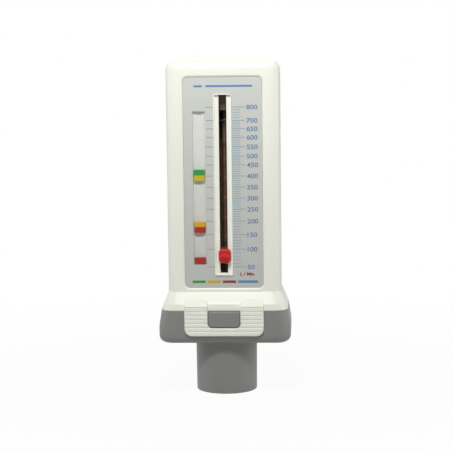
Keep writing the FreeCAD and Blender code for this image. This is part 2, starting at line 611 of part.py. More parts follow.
def make_base():
    """Grey base: a hollow shell that plugs into the skirt, with the mouthpiece spigot below."""
    def shell_outline(width, depth, corner, z, inset):
        return plan_outline(width - 2 * inset, depth - 2 * inset, corner - inset, z)

    round_top = BASE_BOTTOM + BASE_BOTTOM_ROUND
    bottom = [shell_outline(BASE_WIDTH, BASE_DEPTH, BASE_CORNER, round_top - rise, inset)
              for inset, rise in reversed(edge_steps(BASE_BOTTOM_ROUND))]
    outer = stack(*bottom, shell_outline(BASE_WIDTH, BASE_DEPTH, BASE_CORNER, BASE_MID, 0),
                  shell_outline(SKIRT_WIDTH, SKIRT_DEPTH, SKIRT_CORNER, SKIRT_LOW, 0))
    skirt_taper = (SKIRT_WIDTH - SLOPE_WIDTH) / 2 / (SLOPE_LOW - INNER_LEAN - SKIRT_LOW)
    lip_inset = CASE_WALL + CLEAR
    lip_top_inset = lip_inset + skirt_taper * BASE_LIP
    lip_root = SKIRT_LOW - BASE_WALL / 2
    lip = stack(shell_outline(SKIRT_WIDTH, SKIRT_DEPTH, SKIRT_CORNER, lip_root, lip_inset),
                shell_outline(SKIRT_WIDTH, SKIRT_DEPTH, SKIRT_CORNER, SKIRT_LOW, lip_inset),
                shell_outline(SKIRT_WIDTH, SKIRT_DEPTH, SKIRT_CORNER, SKIRT_LOW + BASE_LIP, lip_top_inset))
    floor = BASE_BOTTOM + BASE_FLOOR
    inner_inset = lip_top_inset + BASE_LIP_WALL
    room = stack(shell_outline(BASE_WIDTH, BASE_DEPTH, BASE_CORNER, floor, BASE_WALL + 1.0),
                 shell_outline(BASE_WIDTH, BASE_DEPTH, BASE_CORNER, floor + 2.0, BASE_WALL),
                 shell_outline(BASE_WIDTH, BASE_DEPTH, BASE_CORNER, BASE_MID, BASE_WALL),
                 shell_outline(SKIRT_WIDTH, SKIRT_DEPTH, SKIRT_CORNER, lip_root, inner_inset),
                 shell_outline(SKIRT_WIDTH, SKIRT_DEPTH, SKIRT_CORNER, SKIRT_LOW + BASE_LIP, inner_inset))
    base = outer.fuse([lip, lug(), mirrored(lug())]).cut(room)

    spigot = disc(SPIGOT_RADIUS, SPIGOT_LEAD, BASE_BOTTOM + 1.0)
    lead = disc(SPIGOT_LEAD_RADIUS, 0, SPIGOT_LEAD)
    rim = [e for e in lead.Edges if e.BoundBox.ZMax < 0.01]
    lead = lead.makeChamfer(SPIGOT_RIM_CHAMFER, rim)
    collar = disc(COLLAR_RADIUS, BASE_BOTTOM, COLLAR_TOP)
    ribs = []
    for side in (-1, 1):
        reach = BASE_WIDTH / 2 - BASE_WALL / 2
        x0, x1 = (0, reach) if side > 0 else (-reach, 0)
        ribs.append(box(x0, x1, -BASE_RIB / 2, BASE_RIB / 2, BASE_BOTTOM + 1.0, BASE_RIB_TOP))
    airway = [disc(SPIGOT_BORE, 0, BASE_BOTTOM), disc(COLLAR_BORE, 0, COLLAR_TOP)]
    base = base.fuse([spigot, lead, collar] + ribs).cut(airway)
    return {"base_housing": base.removeSplitter()}


def latch_profile():
    """Side outline of a latch leg with its grip ridges, closed, on the middle plane."""
    root = -KNUCKLE_DEPTH
    lean = (SLOPE_DEPTH - CASE_DEPTH) / 2 / (SLOPE_TOP - SLOPE_LOW)
    slope_at = -SLOPE_DEPTH / 2 + (LATCH_TIP - SLOPE_LOW) * lean
    points = [(LATCH_BACK, LATCH_LOW), (LATCH_FACE, LATCH_LOW)]
    ridge_top = LATCH_BREAK - 0.3
    for index in range(RIDGE_COUNT + 1):
        z = ridge_top - (RIDGE_COUNT - index) * RIDGE_PITCH
        points.append((LATCH_FACE, z - RIDGE_DEPTH))
        points.append((LATCH_FACE + RIDGE_DEPTH, z))
    points.append((LATCH_FACE, LATCH_BREAK))
    points.append((slope_at - SWING - LATCH_TIP_THICK, LATCH_TIP))
    points.append((slope_at - SWING, LATCH_TIP))
    points.append((-SLOPE_DEPTH / 2 - SWING, SLOPE_LOW - SWING))
    points.append((LATCH_BACK, SKIRT_LOW))
    return [V(0, y, z) for y, z in points], root


def make_latch():
    """Front latch: a ridged U that hooks under the lug and swings on two knuckles."""
    points, root = latch_profile()
    half = LATCH_WIDTH / 2
    side_form = flat_face(points)
    side_form.translate(V(-half, 0, 0))
    side_form = side_form.extrude(V(LATCH_WIDTH, 0, 0))
    outline = front_block(LATCH_WIDTH, LATCH_LOW, LATCH_TIP + 2 * LATCH_CORNER, LATCH_CORNER,
                          -BASE_DEPTH, 0)
    window = front_block(WINDOW_WIDTH, LUG_LOW - SWING, LATCH_TIP + 4 * WINDOW_CORNER, WINDOW_CORNER,
                         -BASE_DEPTH, 0)
    legs = side_form.common(outline).cut(window)
    knuckles = []
    for side in (-1, 1):
        inner = WINDOW_WIDTH / 2
        x0, x1 = (inner, half) if side > 0 else (-half, -inner)
        barrel = Part.makeCylinder(KNUCKLE_RADIUS, x1 - x0, V(x0, root, KNUCKLE_HEIGHT), V(1, 0, 0))
        web = box(x0, x1, -SLOPE_DEPTH / 2 - SWING, root, KNUCKLE_HEIGHT - KNUCKLE_RADIUS / 2,
                  KNUCKLE_HEIGHT + KNUCKLE_RADIUS / 2)
        trunnion = Part.makeCylinder(TRUNNION_RADIUS, half + TRUNNION_LENGTH - inner,
                                     V(side * inner, root, KNUCKLE_HEIGHT), V(side, 0, 0))
        knuckles += [barrel, web, trunnion]
    return legs.fuse(knuckles).removeSplitter()


def make_latches():
    """The front latch and the same one on the rear."""
    latch = make_latch()
    return {"front_latch": latch, "rear_latch": mirrored(latch)}


def main():
    """Build every sub-part and write one file for each."""
    os.makedirs(PART_DIR, exist_ok=True)
    parts = {}
    for make in (make_casing, make_plate, make_frame, make_track, make_markers, make_pointer, make_barrel,
                 make_piston, make_rod, make_spring, make_plug, make_spider, make_base, make_latches):
        parts.update(make())
    for name, shape in parts.items():
        solids = shape.Solids
        print(name, "solids", len(solids), "volume", round(shape.Volume, 1), "valid", shape.isValid())
        shape = solids[0] if len(solids) == 1 else Part.makeCompound(solids)
        shape.exportStep(os.path.join(PART_DIR, name + ".step"))


main()
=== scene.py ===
import math
from types import SimpleNamespace

import bmesh
import bpy
import numpy as np
from mathutils import Matrix, Vector


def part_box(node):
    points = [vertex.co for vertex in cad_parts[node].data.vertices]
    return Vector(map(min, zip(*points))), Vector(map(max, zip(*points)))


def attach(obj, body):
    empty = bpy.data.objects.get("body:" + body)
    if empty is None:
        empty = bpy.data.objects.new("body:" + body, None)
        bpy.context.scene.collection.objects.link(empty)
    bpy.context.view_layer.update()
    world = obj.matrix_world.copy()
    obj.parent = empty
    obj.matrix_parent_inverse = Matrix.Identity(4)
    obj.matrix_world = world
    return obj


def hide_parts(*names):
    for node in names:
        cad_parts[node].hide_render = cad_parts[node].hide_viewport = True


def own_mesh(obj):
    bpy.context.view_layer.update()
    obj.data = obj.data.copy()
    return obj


bl_info = {
    "name": "Peak Flow Meter",
    "version": (1, 0, 0),
    "blender": (4, 5, 0),
    "location": "View3D > Sidebar > Meter",
    "description": "Dresses the frame of a peak flow meter with moulded shells, a printed scale and finishes",
    "category": "Add Mesh",
}

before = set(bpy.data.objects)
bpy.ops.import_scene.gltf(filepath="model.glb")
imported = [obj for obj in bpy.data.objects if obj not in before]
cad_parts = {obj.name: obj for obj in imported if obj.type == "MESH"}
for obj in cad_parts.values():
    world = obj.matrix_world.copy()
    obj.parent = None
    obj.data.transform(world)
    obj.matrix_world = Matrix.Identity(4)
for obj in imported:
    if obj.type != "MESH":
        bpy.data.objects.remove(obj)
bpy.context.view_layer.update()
MM = 0.001
# a quarter round of radius one: from nought to one with a slow start, and from one to nought with a slow end
QUARTER = np.linspace(0, math.pi / 2, 9)
EASE_IN = 1 - np.cos(QUARTER)
EASE_OUT = 1 - np.sin(QUARTER)


# Sizes, in the meter's own frame

def length(name, millimetres, description):
    """Property for a size of the meter; it is written here in millimetres and kept in metres."""
    return bpy.props.FloatProperty(name=name, description=description, default=millimetres * MM,
                                   unit="LENGTH", subtype="DISTANCE", precision=5)


def linear_rgb(hex_colour):
    """sRGB hex colour as three linear values."""
    srgb = np.array([int(hex_colour[i:i + 2], 16) for i in (1, 3, 5)]) / 255
    return tuple(np.where(srgb <= 0.04045, srgb / 12.92, ((srgb + 0.055) / 1.055) ** 2.4).tolist())


def shade(name, hex_colour, description):
    """Property for a colour, written as sRGB hex."""
    return bpy.props.FloatVectorProperty(name=name, description=description, size=3, min=0, max=1,
                                         subtype="COLOR", default=linear_rgb(hex_colour))


def in_mm(group):
    """The lengths of a property group as plain numbers in millimetres."""
    return SimpleNamespace(**{key: getattr(group, key) / MM for key in type(group).__annotations__})


class MeterCasingSizes(bpy.types.PropertyGroup):
    case_width: length("Case width", 51.9, "Width of the upright casing")
    case_depth: length("Case depth", 30.0, "Depth of the upright casing")
    case_top: length("Case top", 154.1, "Height of the casing's top")
    case_corner: length("Case corner", 4.4, "Radius of the casing's upright edges")
    top_round: length("Top round", 4.2, "Radius of the casing's top edges")
    slope_top: length("Slope top", 47.9, "Height at which the casing starts to flare")
    slope_low: length("Slope low", 42.9, "Height at which the flare turns into the skirt")
    slope_width: length("Slope width", 55.8, "Width where the flare turns into the skirt")
    slope_depth: length("Slope depth", 37.4, "Depth where the flare turns into the skirt")
    slope_corner: length("Slope corner", 5.4, "Corner radius where the flare turns into the skirt")
    skirt_low: length("Skirt low", 39.9, "Height of the skirt's lower edge")
    skirt_width: length("Skirt width", 58.2, "Width of the skirt's lower edge")
    skirt_depth: length("Skirt depth", 38.6, "Depth of the skirt's lower edge")
    skirt_corner: length("Skirt corner", 6.2, "Corner radius of the skirt's lower edge")
    crease: length("Crease", 0.5, "Reach over which the flare's creases are rounded")
    seam_round: length("Seam rounding", 0.18, "How far the edges at the parting line are eased")
    recess_lip: length("Recess lip", 0.75, "Width of the rounded lip round the scale plate")
    recess_corner: length("Recess corner", 2.3, "Corner radius of the recess for the scale plate")
    shell_wall: length("Shell wall", 1.4, "Thickness given to the visible shell")


class MeterBaseSizes(bpy.types.PropertyGroup):
    base_mid: length("Base middle", 32.0, "Height of the base's widest line")
    base_width: length("Base width", 60.8, "Greatest width of the base")
    base_depth: length("Base depth", 39.2, "Greatest depth of the base")
    base_corner: length("Base corner", 6.8, "Corner radius of the base")
    base_bottom: length("Base bottom", 24.5, "Height of the base's underside")
    base_round: length("Bottom round", 3.4, "Radius of the base's lower edge")
    base_wall: length("Base wall", 2.2, "Wall of the base's shell")
    spigot_radius: length("Spigot radius", 14.3, "Radius of the mouthpiece spigot at its root")
    spigot_tip: length("Spigot tip radius", 14.1, "Radius of the mouthpiece spigot at its rim")
    spigot_bore: length("Spigot bore", 12.3, "Radius of the airway through the spigot")
    collar_radius: length("Collar radius", 14.2, "Outer radius of the collar inside the base")
    collar_bore: length("Collar bore", 12.0, "Radius of the airway through the collar")
    collar_top: length("Collar top", 42.0, "Height of the collar inside the base")
    lug_width: length("Lug width", 14.4, "Width of the lug that a latch holds")
    lug_low: length("Lug low", 32.4, "Height of the lug's lower edge")
    lug_top: length("Lug top", 39.5, "Height of the lug's upper edge")
    lug_proud: length("Lug proud", 1.2, "How far the lug stands out of the base")
    lug_corner: length("Lug corner", 1.4, "Corner radius of the lug")


class MeterLatchSizes(bpy.types.PropertyGroup):
    latch_width: length("Latch width", 36.3, "Width of a latch")
    latch_low: length("Latch low", 28.3, "Height of a latch's lower edge")
    latch_break: length("Latch break", 42.0, "Height at which the legs lean back along the flare")
    latch_tip: length("Latch tip", 44.9, "Height of the legs' upper ends")
    latch_back: length("Latch back", 19.7, "Depth of the back of the legs from the middle")
    back_low: length("Back low", 39.9, "Height at which the back of the legs starts to lean")
    back_bend: length("Back bend", 42.55, "Height at which the back of the legs turns to follow the flare")
    bend_depth: length("Bend depth", 19.05, "Depth of that turn from the middle")
    latch_face: length("Latch face", 21.0, "Depth of the face of the legs from the middle")
    latch_corner: length("Latch corner", 3.4, "Outer corner radius of a latch")
    latch_edge: length("Latch edge", 0.5, "Rounding of a latch's edges")
    window_width: length("Window width", 15.0, "Width of a latch's window")
    window_low: length("Window low", 32.05, "Height of the window's lower edge")
    window_corner: length("Window corner", 1.9, "Corner radius of the window")
    tip_front: length("Tip front", 18.07, "Depth of the legs' upper ends, front, from the middle")
    tip_thick: length("Tip thickness", 0.5, "Thickness of the legs' upper ends")
    ridge_pitch: length("Ridge pitch", 1.84, "Spacing of the grip ridges")
    ridge_top: length("Ridge top", 41.7, "Height of the uppermost ridge")
    ridge_depth: length("Ridge depth", 0.28, "Depth of the grip ridges")
    groove: length("Groove", 0.75, "Height of the groove above each ridge's face")
    knuckle_height: length("Knuckle height", 43.5, "Height of the latch's hinge line")
    knuckle_depth: length("Knuckle depth", 17.0, "Depth of the latch's hinge line")
    knuckle_radius: length("Knuckle radius", 1.0, "Radius of the latch's knuckles")
    web_face: length("Web face", 18.8, "Depth of the front of the webs between knuckles and legs")


class MeterScaleSizes(bpy.types.PropertyGroup):
    rim: length("Frame rim", 0.5, "Width of the slot frame's raised rim")
    ledge: length("Ledge depth", 1.2, "How far the ledge lies behind the frame's rim")
    window_width: length("Window width", 5.9, "Width of the marker track's window")
    slot_width: length("Slot width", 3.5, "Width of the pointer's slot")
    slot_low: length("Slot low", 56.6, "Height of the slot's lower end")
    slot_top: length("Slot top", 138.0, "Height of the slot's upper end")
    ink: length("Ink", 0.03, "Thickness of the printed ink")
    tick: length("Tick", 0.3, "Thickness of the scale's lines")
    digit_height: length("Digit height", 2.2, "Height of the scale's digits")
    digit_left: length("Digit left", 10.85, "Where the digits start, from the middle")
    unit_height: length("Unit height", 1.55, "Height of the unit's letters")


class MeterPointerSizes(bpy.types.PropertyGroup):
    knob_width: length("Knob width", 5.5, "Width of the pointer's knob")
    knob_height: length("Knob height", 6.4, "Height of the pointer's knob")
    knob_shift: length("Knob shift", 0.4, "How far the knob's middle lies right of the slot's middle")
    knob_low: length("Knob low", 61.45, "Height of the knob's lower edge at rest")
    knob_face: length("Knob face", 16.8, "Depth of the knob's face from the middle")
    knob_back: length("Knob back", 14.3, "Depth of the knob's back from the middle")
    knob_corner: length("Knob corner", 1.6, "Corner radius of the knob")
    knob_edge: length("Knob edge", 0.7, "Rounding of the knob's face edge")
    neck_width: length("Neck width", 2.8, "Width of the neck that goes through the slot")
    neck_height: length("Neck height", 4.5, "Height of the neck that goes through the slot")
    chevron: length("Chevron", 0.65, "How far the chevron stands out of the knob")


class MeterSpringSizes(bpy.types.PropertyGroup):
    coil_radius: length("Coil radius", 4.4, "Radius of the return spring's centre line")
    wire: length("Wire", 0.4, "Thickness of the spring's wire")


class MeterColours(bpy.types.PropertyGroup):
    casing: shade("Casing", "#f3f4e8", "White of the casing, the latches and the slot frame")
    base: shade("Base", "#838380", "Grey of the base and its spigot")
    plate: shade("Plate", "#c9cbc5", "Silver of the scale plate")
    track: shade("Track", "#e6e8e4", "Pale track of the zone markers")
    barrel: shade("Barrel", "#8a6a50", "Brown of the barrel's bore")
    plug: shade("Plug", "#5f4b3a", "Brown-black of the plug, the pointer's shoe and the buffer")
    ink: shade("Ink", "#5b87bd", "Blue ink of the bars")
    digits: shade("Digits", "#6585a9", "Softer blue ink of the digits")
    line: shade("Line", "#8496a0", "Grey ink of the lines at the numbers")
    tens: shade("Tens", "#7aa3c2", "Pale blue ink of the lines between the numbers")
    unit: shade("Unit", "#8c2f38", "Dark red ink of the unit")
    red: shade("Red", "#c2130b", "Red of the pointer")
    zone_red: shade("Zone red", "#a62217", "Red of the zone markers")
    zone_amber: shade("Zone amber", "#d6a51e", "Amber of the middle zone marker")
    zone_yellow: shade("Zone yellow", "#c2b62c", "Yellow of the upper zone marker")
    zone_green: shade("Zone green", "#2f8f3d", "Green of the upper zone marker")
    steel: shade("Steel", "#75594a", "Blackened steel of the rod and the spring")
    zinc: shade("Zinc", "#b9bcbe", "Bright zinc of the rod's nut")
    rubber: shade("Rubber", "#3a3a39", "Soft rubber of the seal and the washer")
    nylon: shade("Nylon", "#cfc9b8", "Natural nylon of the piston")


class MeterStage(bpy.types.PropertyGroup):
    key_power: bpy.props.FloatProperty(
        name="Key light", description="Power of the soft light above the front", default=0.9, unit="POWER")
    fill_power: bpy.props.FloatProperty(
        name="Fill light", description="Power of the light on each side", default=0.55, unit="POWER")
    room_light: bpy.props.FloatProperty(
        name="Room light", description="Strength of the even light of the room", default=0.1, min=0)
    lens: bpy.props.FloatProperty(name="Lens", description="Focal length of the camera, in millimetres",
                                  default=114.7, subtype="DISTANCE_CAMERA")


# Surfaces

def soft_ramp(z, start, reach):
    """Nought below start and rising one for one above it; a parabola joins the two within reach of start."""
    blend = (z - start + reach) ** 2 / (4 * reach)
    return np.where(z < start - reach, 0.0, np.where(z > start + reach, z - start, blend))


def ring_rows(half_u, half_v, radius, along_u=10, along_v=10, arc=8):
    """Rounded rectangles, one row for each entry of the sizes.

    A corner's points are its centre plus the radius times the cosine and sine of their angle, and a
    side's points divide the straight line between two corners evenly.
    """
    half_u, half_v, radius = (np.asarray(x, float)[:, None] for x in (half_u, half_v, radius))
    turn = np.linspace(0, math.pi / 2, arc + 1)
    us, vs = [], []
    for corner, (su, sv) in enumerate(((1, 1), (-1, 1), (-1, -1), (1, -1))):
        angle = turn + corner * math.pi / 2
        us.append(su * (half_u - radius) + radius * np.cos(angle))
        vs.append(sv * (half_v - radius) + radius * np.sin(angle))
    row_u, row_v = [], []
    for corner in range(4):
        after = (corner + 1) % 4
        share = np.linspace(0, 1, (along_u, along_v)[corner % 2] + 1)[1:-1]
        row_u += [us[corner], us[corner][:, -1:] * (1 - share) + us[after][:, :1] * share]
        row_v += [vs[corner], vs[corner][:, -1:] * (1 - share) + vs[after][:, :1] * share]
    return np.hstack(row_u), np.hstack(row_v)


def grid_faces(rows, columns, wrap_rows=False, wrap_columns=False, skip=None):
    """Four-sided faces between neighbouring rows and columns, but not where skip is true."""
    index = np.arange(rows * columns).reshape(rows, columns)
    if wrap_rows:
        index = np.vstack([index, index[:1]])
    if wrap_columns:
        index = np.hstack([index, index[:, :1]])
    faces = np.stack([index[:-1, :-1], index[:-1, 1:], index[1:, 1:], index[1:, :-1]], axis=-1)
    return faces[~skip] if skip is not None else faces.reshape(-1, 4)


class Surface:
    """Points and faces of one piece, gathered from its grids in millimetres."""

    def __init__(self):
        self.points, self.faces, self.count = [], [], 0

    def grid(self, points, wrap_rows=False, wrap_columns=False, skip=None, caps=()):
        """Add a grid of points (rows, columns, 3); caps lists the rows that a single face closes."""
        rows, columns = points.shape[:2]
        faces = grid_faces(rows, columns, wrap_rows, wrap_columns, skip) + self.count
        self.faces += faces.tolist()
        for row in caps:
            start = self.count + (row % rows) * columns
            self.faces.append(list(range(start, start + columns)))
        self.points.append(points.reshape(-1, 3))
        self.count += rows * columns
        return self

    def mirror_depth(self):
        """The same surface on the other side of the plane y = 0."""
        other = Surface()
        other.points = [p * (1, -1, 1) for p in self.points]
        other.faces, other.count = [list(f) for f in self.faces], self.count
        return other

    def build(self, name, sharp=32.0):
        """Object with its doubles merged, its faces outwards and its edges over the angle sharp crisp."""
        mesh = bpy.data.meshes.new(name)
        used, index = np.unique(np.concatenate(self.faces), return_inverse=True)
        faces = np.split(index, np.cumsum([len(face) for face in self.faces])[:-1])
        mesh.from_pydata(np.vstack(self.points)[used] * MM, [], [face.tolist() for face in faces])
        work = bmesh.new()
        work.from_mesh(mesh)
        bmesh.ops.remove_doubles(work, verts=work.verts, dist=2e-6)
        bmesh.ops.dissolve_degenerate(work, edges=work.edges, dist=1e-7)
        bmesh.ops.recalc_face_normals(work, faces=work.faces)
        work.to_mesh(mesh)
        work.free()
        mesh.shade_smooth()
        mesh.set_sharp_from_angle(angle=math.radians(sharp))
        piece = bpy.data.objects.new(name, mesh)
        bpy.context.scene.collection.objects.link(piece)
        return piece


def upright(u, v, y, centre_z=0.0, centre_x=0.0):
    """Points of front-view rows (x, z) at the depth of each row."""
    y = np.broadcast_to(np.asarray(y, float).reshape(len(u), -1), u.shape)
    return np.stack([u + centre_x, y, v + centre_z], axis=-1)


def level(u, v, z):
    """Points of plan-view rows (x, y) at the height of each row."""
    return np.stack([u, v, np.broadcast_to(np.asarray(z, float)[:, None], u.shape)], axis=-1)


def stacked(*parts):
    """Arrays and numbers side by side along a new last axis, each spread to the shape of the largest."""
    return np.stack(np.broadcast_arrays(*(np.asarray(part, float) for part in parts)), axis=-1)


def ease(points, amount):
    """The grid moved inwards along its own normal, the cross product of its row and column steps."""
    normal = np.cross(np.gradient(points, axis=0), np.gradient(points, axis=1))
    size = np.linalg.norm(normal, axis=-1, keepdims=True)
    normal = np.where(size > 1e-9, normal / np.maximum(size, 1e-9), (0.0, 0.0, 1.0))
    return points - normal * amount[..., None]


def dress(piece, material, body, replaced=()):
    """Give a piece its material and body, and hide the frame nodes that it stands for."""
    piece.data.materials.clear()
    piece.data.materials.append(material)
    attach(piece, body)
    if replaced:
        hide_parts(*replaced)
    return piece


def node_box(node):
    """Lowest and highest corner of a frame node in millimetres, as arrays."""
    low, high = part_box(node)
    return np.array(low) / MM, np.array(high) / MM


# Materials

def add(tree, kind, settings=None, links=None, attributes=None):
    """One shader node with its socket values, its incoming links and its attributes."""
    made = tree.nodes.new(kind)
    for key, value in (attributes or {}).items():
        setattr(made, key, value)
    for key, value in (settings or {}).items():
        made.inputs[key].default_value = value
    for key, source in (links or {}).items():
        tree.links.new(source, made.inputs[key])
    return made


def opaque(rgb, factor=1.0):
    """Linear colour with full alpha, made lighter or darker by a factor."""
    return tuple(min(1.0, c * factor) for c in rgb) + (1.0,)


def finish(name, rgb, roughness, ior=1.5, metallic=0.0, mottle=0.03, mottle_mm=9.0, grain_mm=0.35,
           grain_height_mm=0.004, rough_range=0.05, coat=0.0, low=None, subsurface=0.0):
    """Principled material from a colour, a slow mottle of it and a fine grain.

    The mottle lightens and darkens the colour by its share, the grain gives height and roughness, and
    low is a second colour that the first one turns into from the top of the object to the bottom: a
    painted shade that stands in for the light falling off downwards.
    """
    material = bpy.data.materials.new(name)
    material.use_nodes = True
    tree = material.node_tree
    tree.nodes.clear()
    place = add(tree, "ShaderNodeTexCoord").outputs["Object"]
    slow = add(tree, "ShaderNodeTexNoise", {"Scale": 1 / (mottle_mm * MM), "Detail": 3.0, "Roughness": 0.55},
               {"Vector": place})
    tone = add(tree, "ShaderNodeMix", {6: opaque(rgb, 1 - mottle), 7: opaque(rgb, 1 + mottle)},
               {0: slow.outputs["Fac"]}, {"data_type": "RGBA"}).outputs[2]
    # painted shade: below 0.15 m the colour is multiplied down towards low, darkest under 0.05 m, standing in
    # for the key light falling off downwards
    if low is not None:
        height = add(tree, "ShaderNodeSeparateXYZ", links={0: place}).outputs["Z"]
        share = add(tree, "ShaderNodeMapRange", {"From Min": 0.05, "From Max": 0.15}, {"Value": height})
        ratio = [min(4.0, b / max(a, 1e-4)) for a, b in zip(rgb, low)]
        painted_shade_tint = add(tree, "ShaderNodeMix", {6: tuple(ratio) + (1.0,), 7: (1.0, 1.0, 1.0, 1.0)},
                   {0: share.outputs["Result"]}, {"data_type": "RGBA"}).outputs[2]
        tone = add(tree, "ShaderNodeMix", {0: 1.0}, {6: tone, 7: painted_shade_tint},
                   {"data_type": "RGBA", "blend_type": "MULTIPLY"}).outputs[2]
    grain = add(tree, "ShaderNodeTexNoise", {"Scale": 1 / (grain_mm * MM), "Detail": 2.0, "Roughness": 0.6},
                {"Vector": place})
    limits = {"To Min": roughness - rough_range, "To Max": roughness + rough_range}
    rough = add(tree, "ShaderNodeMapRange", limits, {"Value": grain.outputs["Fac"]})
    bump = add(tree, "ShaderNodeBump", {"Strength": 1.0, "Distance": grain_height_mm * MM},
               {"Height": grain.outputs["Fac"]})
    shader = add(tree, "ShaderNodeBsdfPrincipled",
                 {"Metallic": metallic, "IOR": ior, "Coat Weight": coat, "Coat Roughness": 0.12,
                  "Subsurface Weight": subsurface, "Subsurface Scale": 0.8 * MM},
                 {"Base Color": tone, "Roughness": rough.outputs["Result"], "Normal": bump.outputs["Normal"]})
    add(tree, "ShaderNodeOutputMaterial", links={"Surface": shader.outputs["BSDF"]})
    return material


def materials():
    """All finishes of the meter by name, made once."""
    if "moulded white ABS" in bpy.data.materials:
        return bpy.data.materials
    c = bpy.context.scene.meter_colours
    # Injection-moulded ABS, satin: even warm white with a faint spark-eroded grain and soft highlights.
    finish("moulded white ABS", c.casing, 0.42, ior=1.54, mottle=0.012, mottle_mm=22, grain_mm=0.3,
           grain_height_mm=0.0025, subsurface=0.04)
    # Injection-moulded ABS, matt grey: coarser texture against slipping, which greys the highlights.
    finish("moulded grey ABS", c.base, 0.5, ior=1.54, mottle_mm=14, grain_mm=0.32, grain_height_mm=0.005)
    # Screen-printed aluminised film: fine metal flakes under a satin lacquer; its colour is painted darker
    # towards the foot, a painted shade for the light that falls off downwards.
    finish("silver printed film", c.plate, 0.44, metallic=0.25, mottle=0.02, mottle_mm=12, grain_mm=0.16,
           grain_height_mm=0.0015, rough_range=0.08, coat=0.15, low=linear_rgb("#bcbeb8"))
    # Polystyrene strip, pearl: pale and glossy, so its hollow shows one soft bright line; its colour is
    # painted darker towards the foot, a painted shade for the light that falls off downwards.
    finish("pearl polystyrene", c.track, 0.3, ior=1.59, mottle=0.02, mottle_mm=10, grain_mm=0.5,
           grain_height_mm=0.001, coat=0.2, low=linear_rgb("#cfd0cb"), subsurface=0.4)
    # Acetal tube, brown: low-friction, slightly waxy, with faint drawing marks.
    finish("brown acetal", c.barrel, 0.36, ior=1.48, mottle=0.12, mottle_mm=6, grain_mm=0.6,
           grain_height_mm=0.003)
    # Acetal, brown-black: the same for the small mouldings.
    finish("black acetal", c.plug, 0.4, ior=1.48, mottle=0.12, mottle_mm=6, grain_mm=0.6,
           grain_height_mm=0.003)
    # Oil-blackened spring steel: dark metal with thin bright spots.
    finish("blackened steel", c.steel, 0.38, metallic=0.4, mottle=0.15, mottle_mm=3, grain_mm=0.4,
           grain_height_mm=0.001)
    # Zinc-plated steel nut: bright, fine-grained.
    finish("zinc plated steel", c.zinc, 0.32, metallic=1.0, mottle=0.06, mottle_mm=2.5, grain_mm=0.25,
           grain_height_mm=0.001)
    # Silicone rubber: matt and soft-edged.
    finish("silicone rubber", c.rubber, 0.72, ior=1.43, mottle=0.06, mottle_mm=4, grain_mm=0.3,
           grain_height_mm=0.006)
    # Natural nylon: ivory and slightly see-through at its edges.
    finish("natural nylon", c.nylon, 0.48, ior=1.53, mottle=0.04, mottle_mm=6, grain_mm=0.4, subsurface=0.1)
    # Polypropylene pointer and markers: saturated, with a moulded satin skin.
    for name, rgb in (("red polypropylene", c.red), ("zone red polypropylene", c.zone_red),
                      ("amber polypropylene", c.zone_amber), ("yellow polypropylene", c.zone_yellow),
                      ("green polypropylene", c.zone_green)):
        finish(name, rgb, 0.46, ior=1.49, mottle=0.06, mottle_mm=2.5, grain_mm=0.25, subsurface=0.03)
    # Screen ink: flat, thinly laid, its cover slightly uneven.
    for name, rgb in (("blue screen ink", c.ink), ("soft blue screen ink", c.digits),
                      ("grey screen ink", c.line), ("pale blue screen ink", c.tens),
                      ("dark red screen ink", c.unit), ("green screen ink", c.zone_green),
                      ("amber screen ink", c.zone_amber)):
        finish(name, rgb, 0.5, mottle=0.1, mottle_mm=0.8, grain_mm=0.2, grain_height_mm=0.001)
    return bpy.data.materials


def paint_nodes(material, *names):
    """Put a material on frame nodes that keep their own shape."""
    for name in names:
        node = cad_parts[name]
        if not node.material_slots:
            node.data.materials.append(material)
        for held in node.material_slots:
            held.material = material


# Casing

def casing_sizes(c, z):
    """Half width, half depth and corner radius of the casing's plan at each height.

    Each is a line from the skirt to the flare and from the flare to the upright body, and soft ramps
    round the two creases.
    """
    sizes = []
    for low, middle, top in ((c.skirt_width / 2, c.slope_width / 2, c.case_width / 2),
                             (c.skirt_depth / 2, c.slope_depth / 2, c.case_depth / 2),
                             (c.skirt_corner, c.slope_corner, c.case_corner)):
        first = (middle - low) / (c.slope_low - c.skirt_low)
        second = (top - middle) / (c.slope_top - c.slope_low)
        sizes.append(low + first * (z - c.skirt_low) + (second - first) * soft_ramp(z, c.slope_low, c.crease)
                     - second * soft_ramp(z, c.slope_top, c.crease))
    return sizes


def half_plan(half_x, half_y, radius, front_x):
    """Half outlines seen from above, from the seam at +x round the front to the seam at -x.

    A side runs straight to its corner, the corner is the radius times the cosine and sine of its
    angle, and the front keeps the same x in every row between the two shoulders.
    """
    half_x, half_y, radius = (np.asarray(x, float)[:, None] for x in (half_x, half_y, radius))
    seam = np.array([0, 0.008, 0.02, 0.036, 0.25, 0.5, 0.75])
    turn = np.linspace(0, math.pi / 2, 11)
    shoulder = np.linspace(0, 1, 4)[1:-1]
    x = np.hstack([half_x + 0 * seam, half_x - radius + radius * np.cos(turn),
                   (half_x - radius) * (1 - shoulder) + front_x[0] * shoulder, 0 * half_x + front_x[None, :]])
    y = np.hstack([-(half_y - radius) * seam, -(half_y - radius) - radius * np.sin(turn),
                   -half_y + 0 * shoulder, -half_y + 0 * front_x[None, :]])
    middle = len(front_x)
    return (np.hstack([x, -x[:, -middle - 1::-1]]), np.hstack([y, y[:, -middle - 1::-1]]),
            x.shape[1] - middle)


def recess_ring():
    """Half width, half height and middle height of the recess for the scale plate."""
    low, high = node_box("scale_plate")
    gap = 0.1
    return (high[0] - low[0]) / 2 + gap, (high[2] - low[2]) / 2 + gap, (high[2] + low[2]) / 2


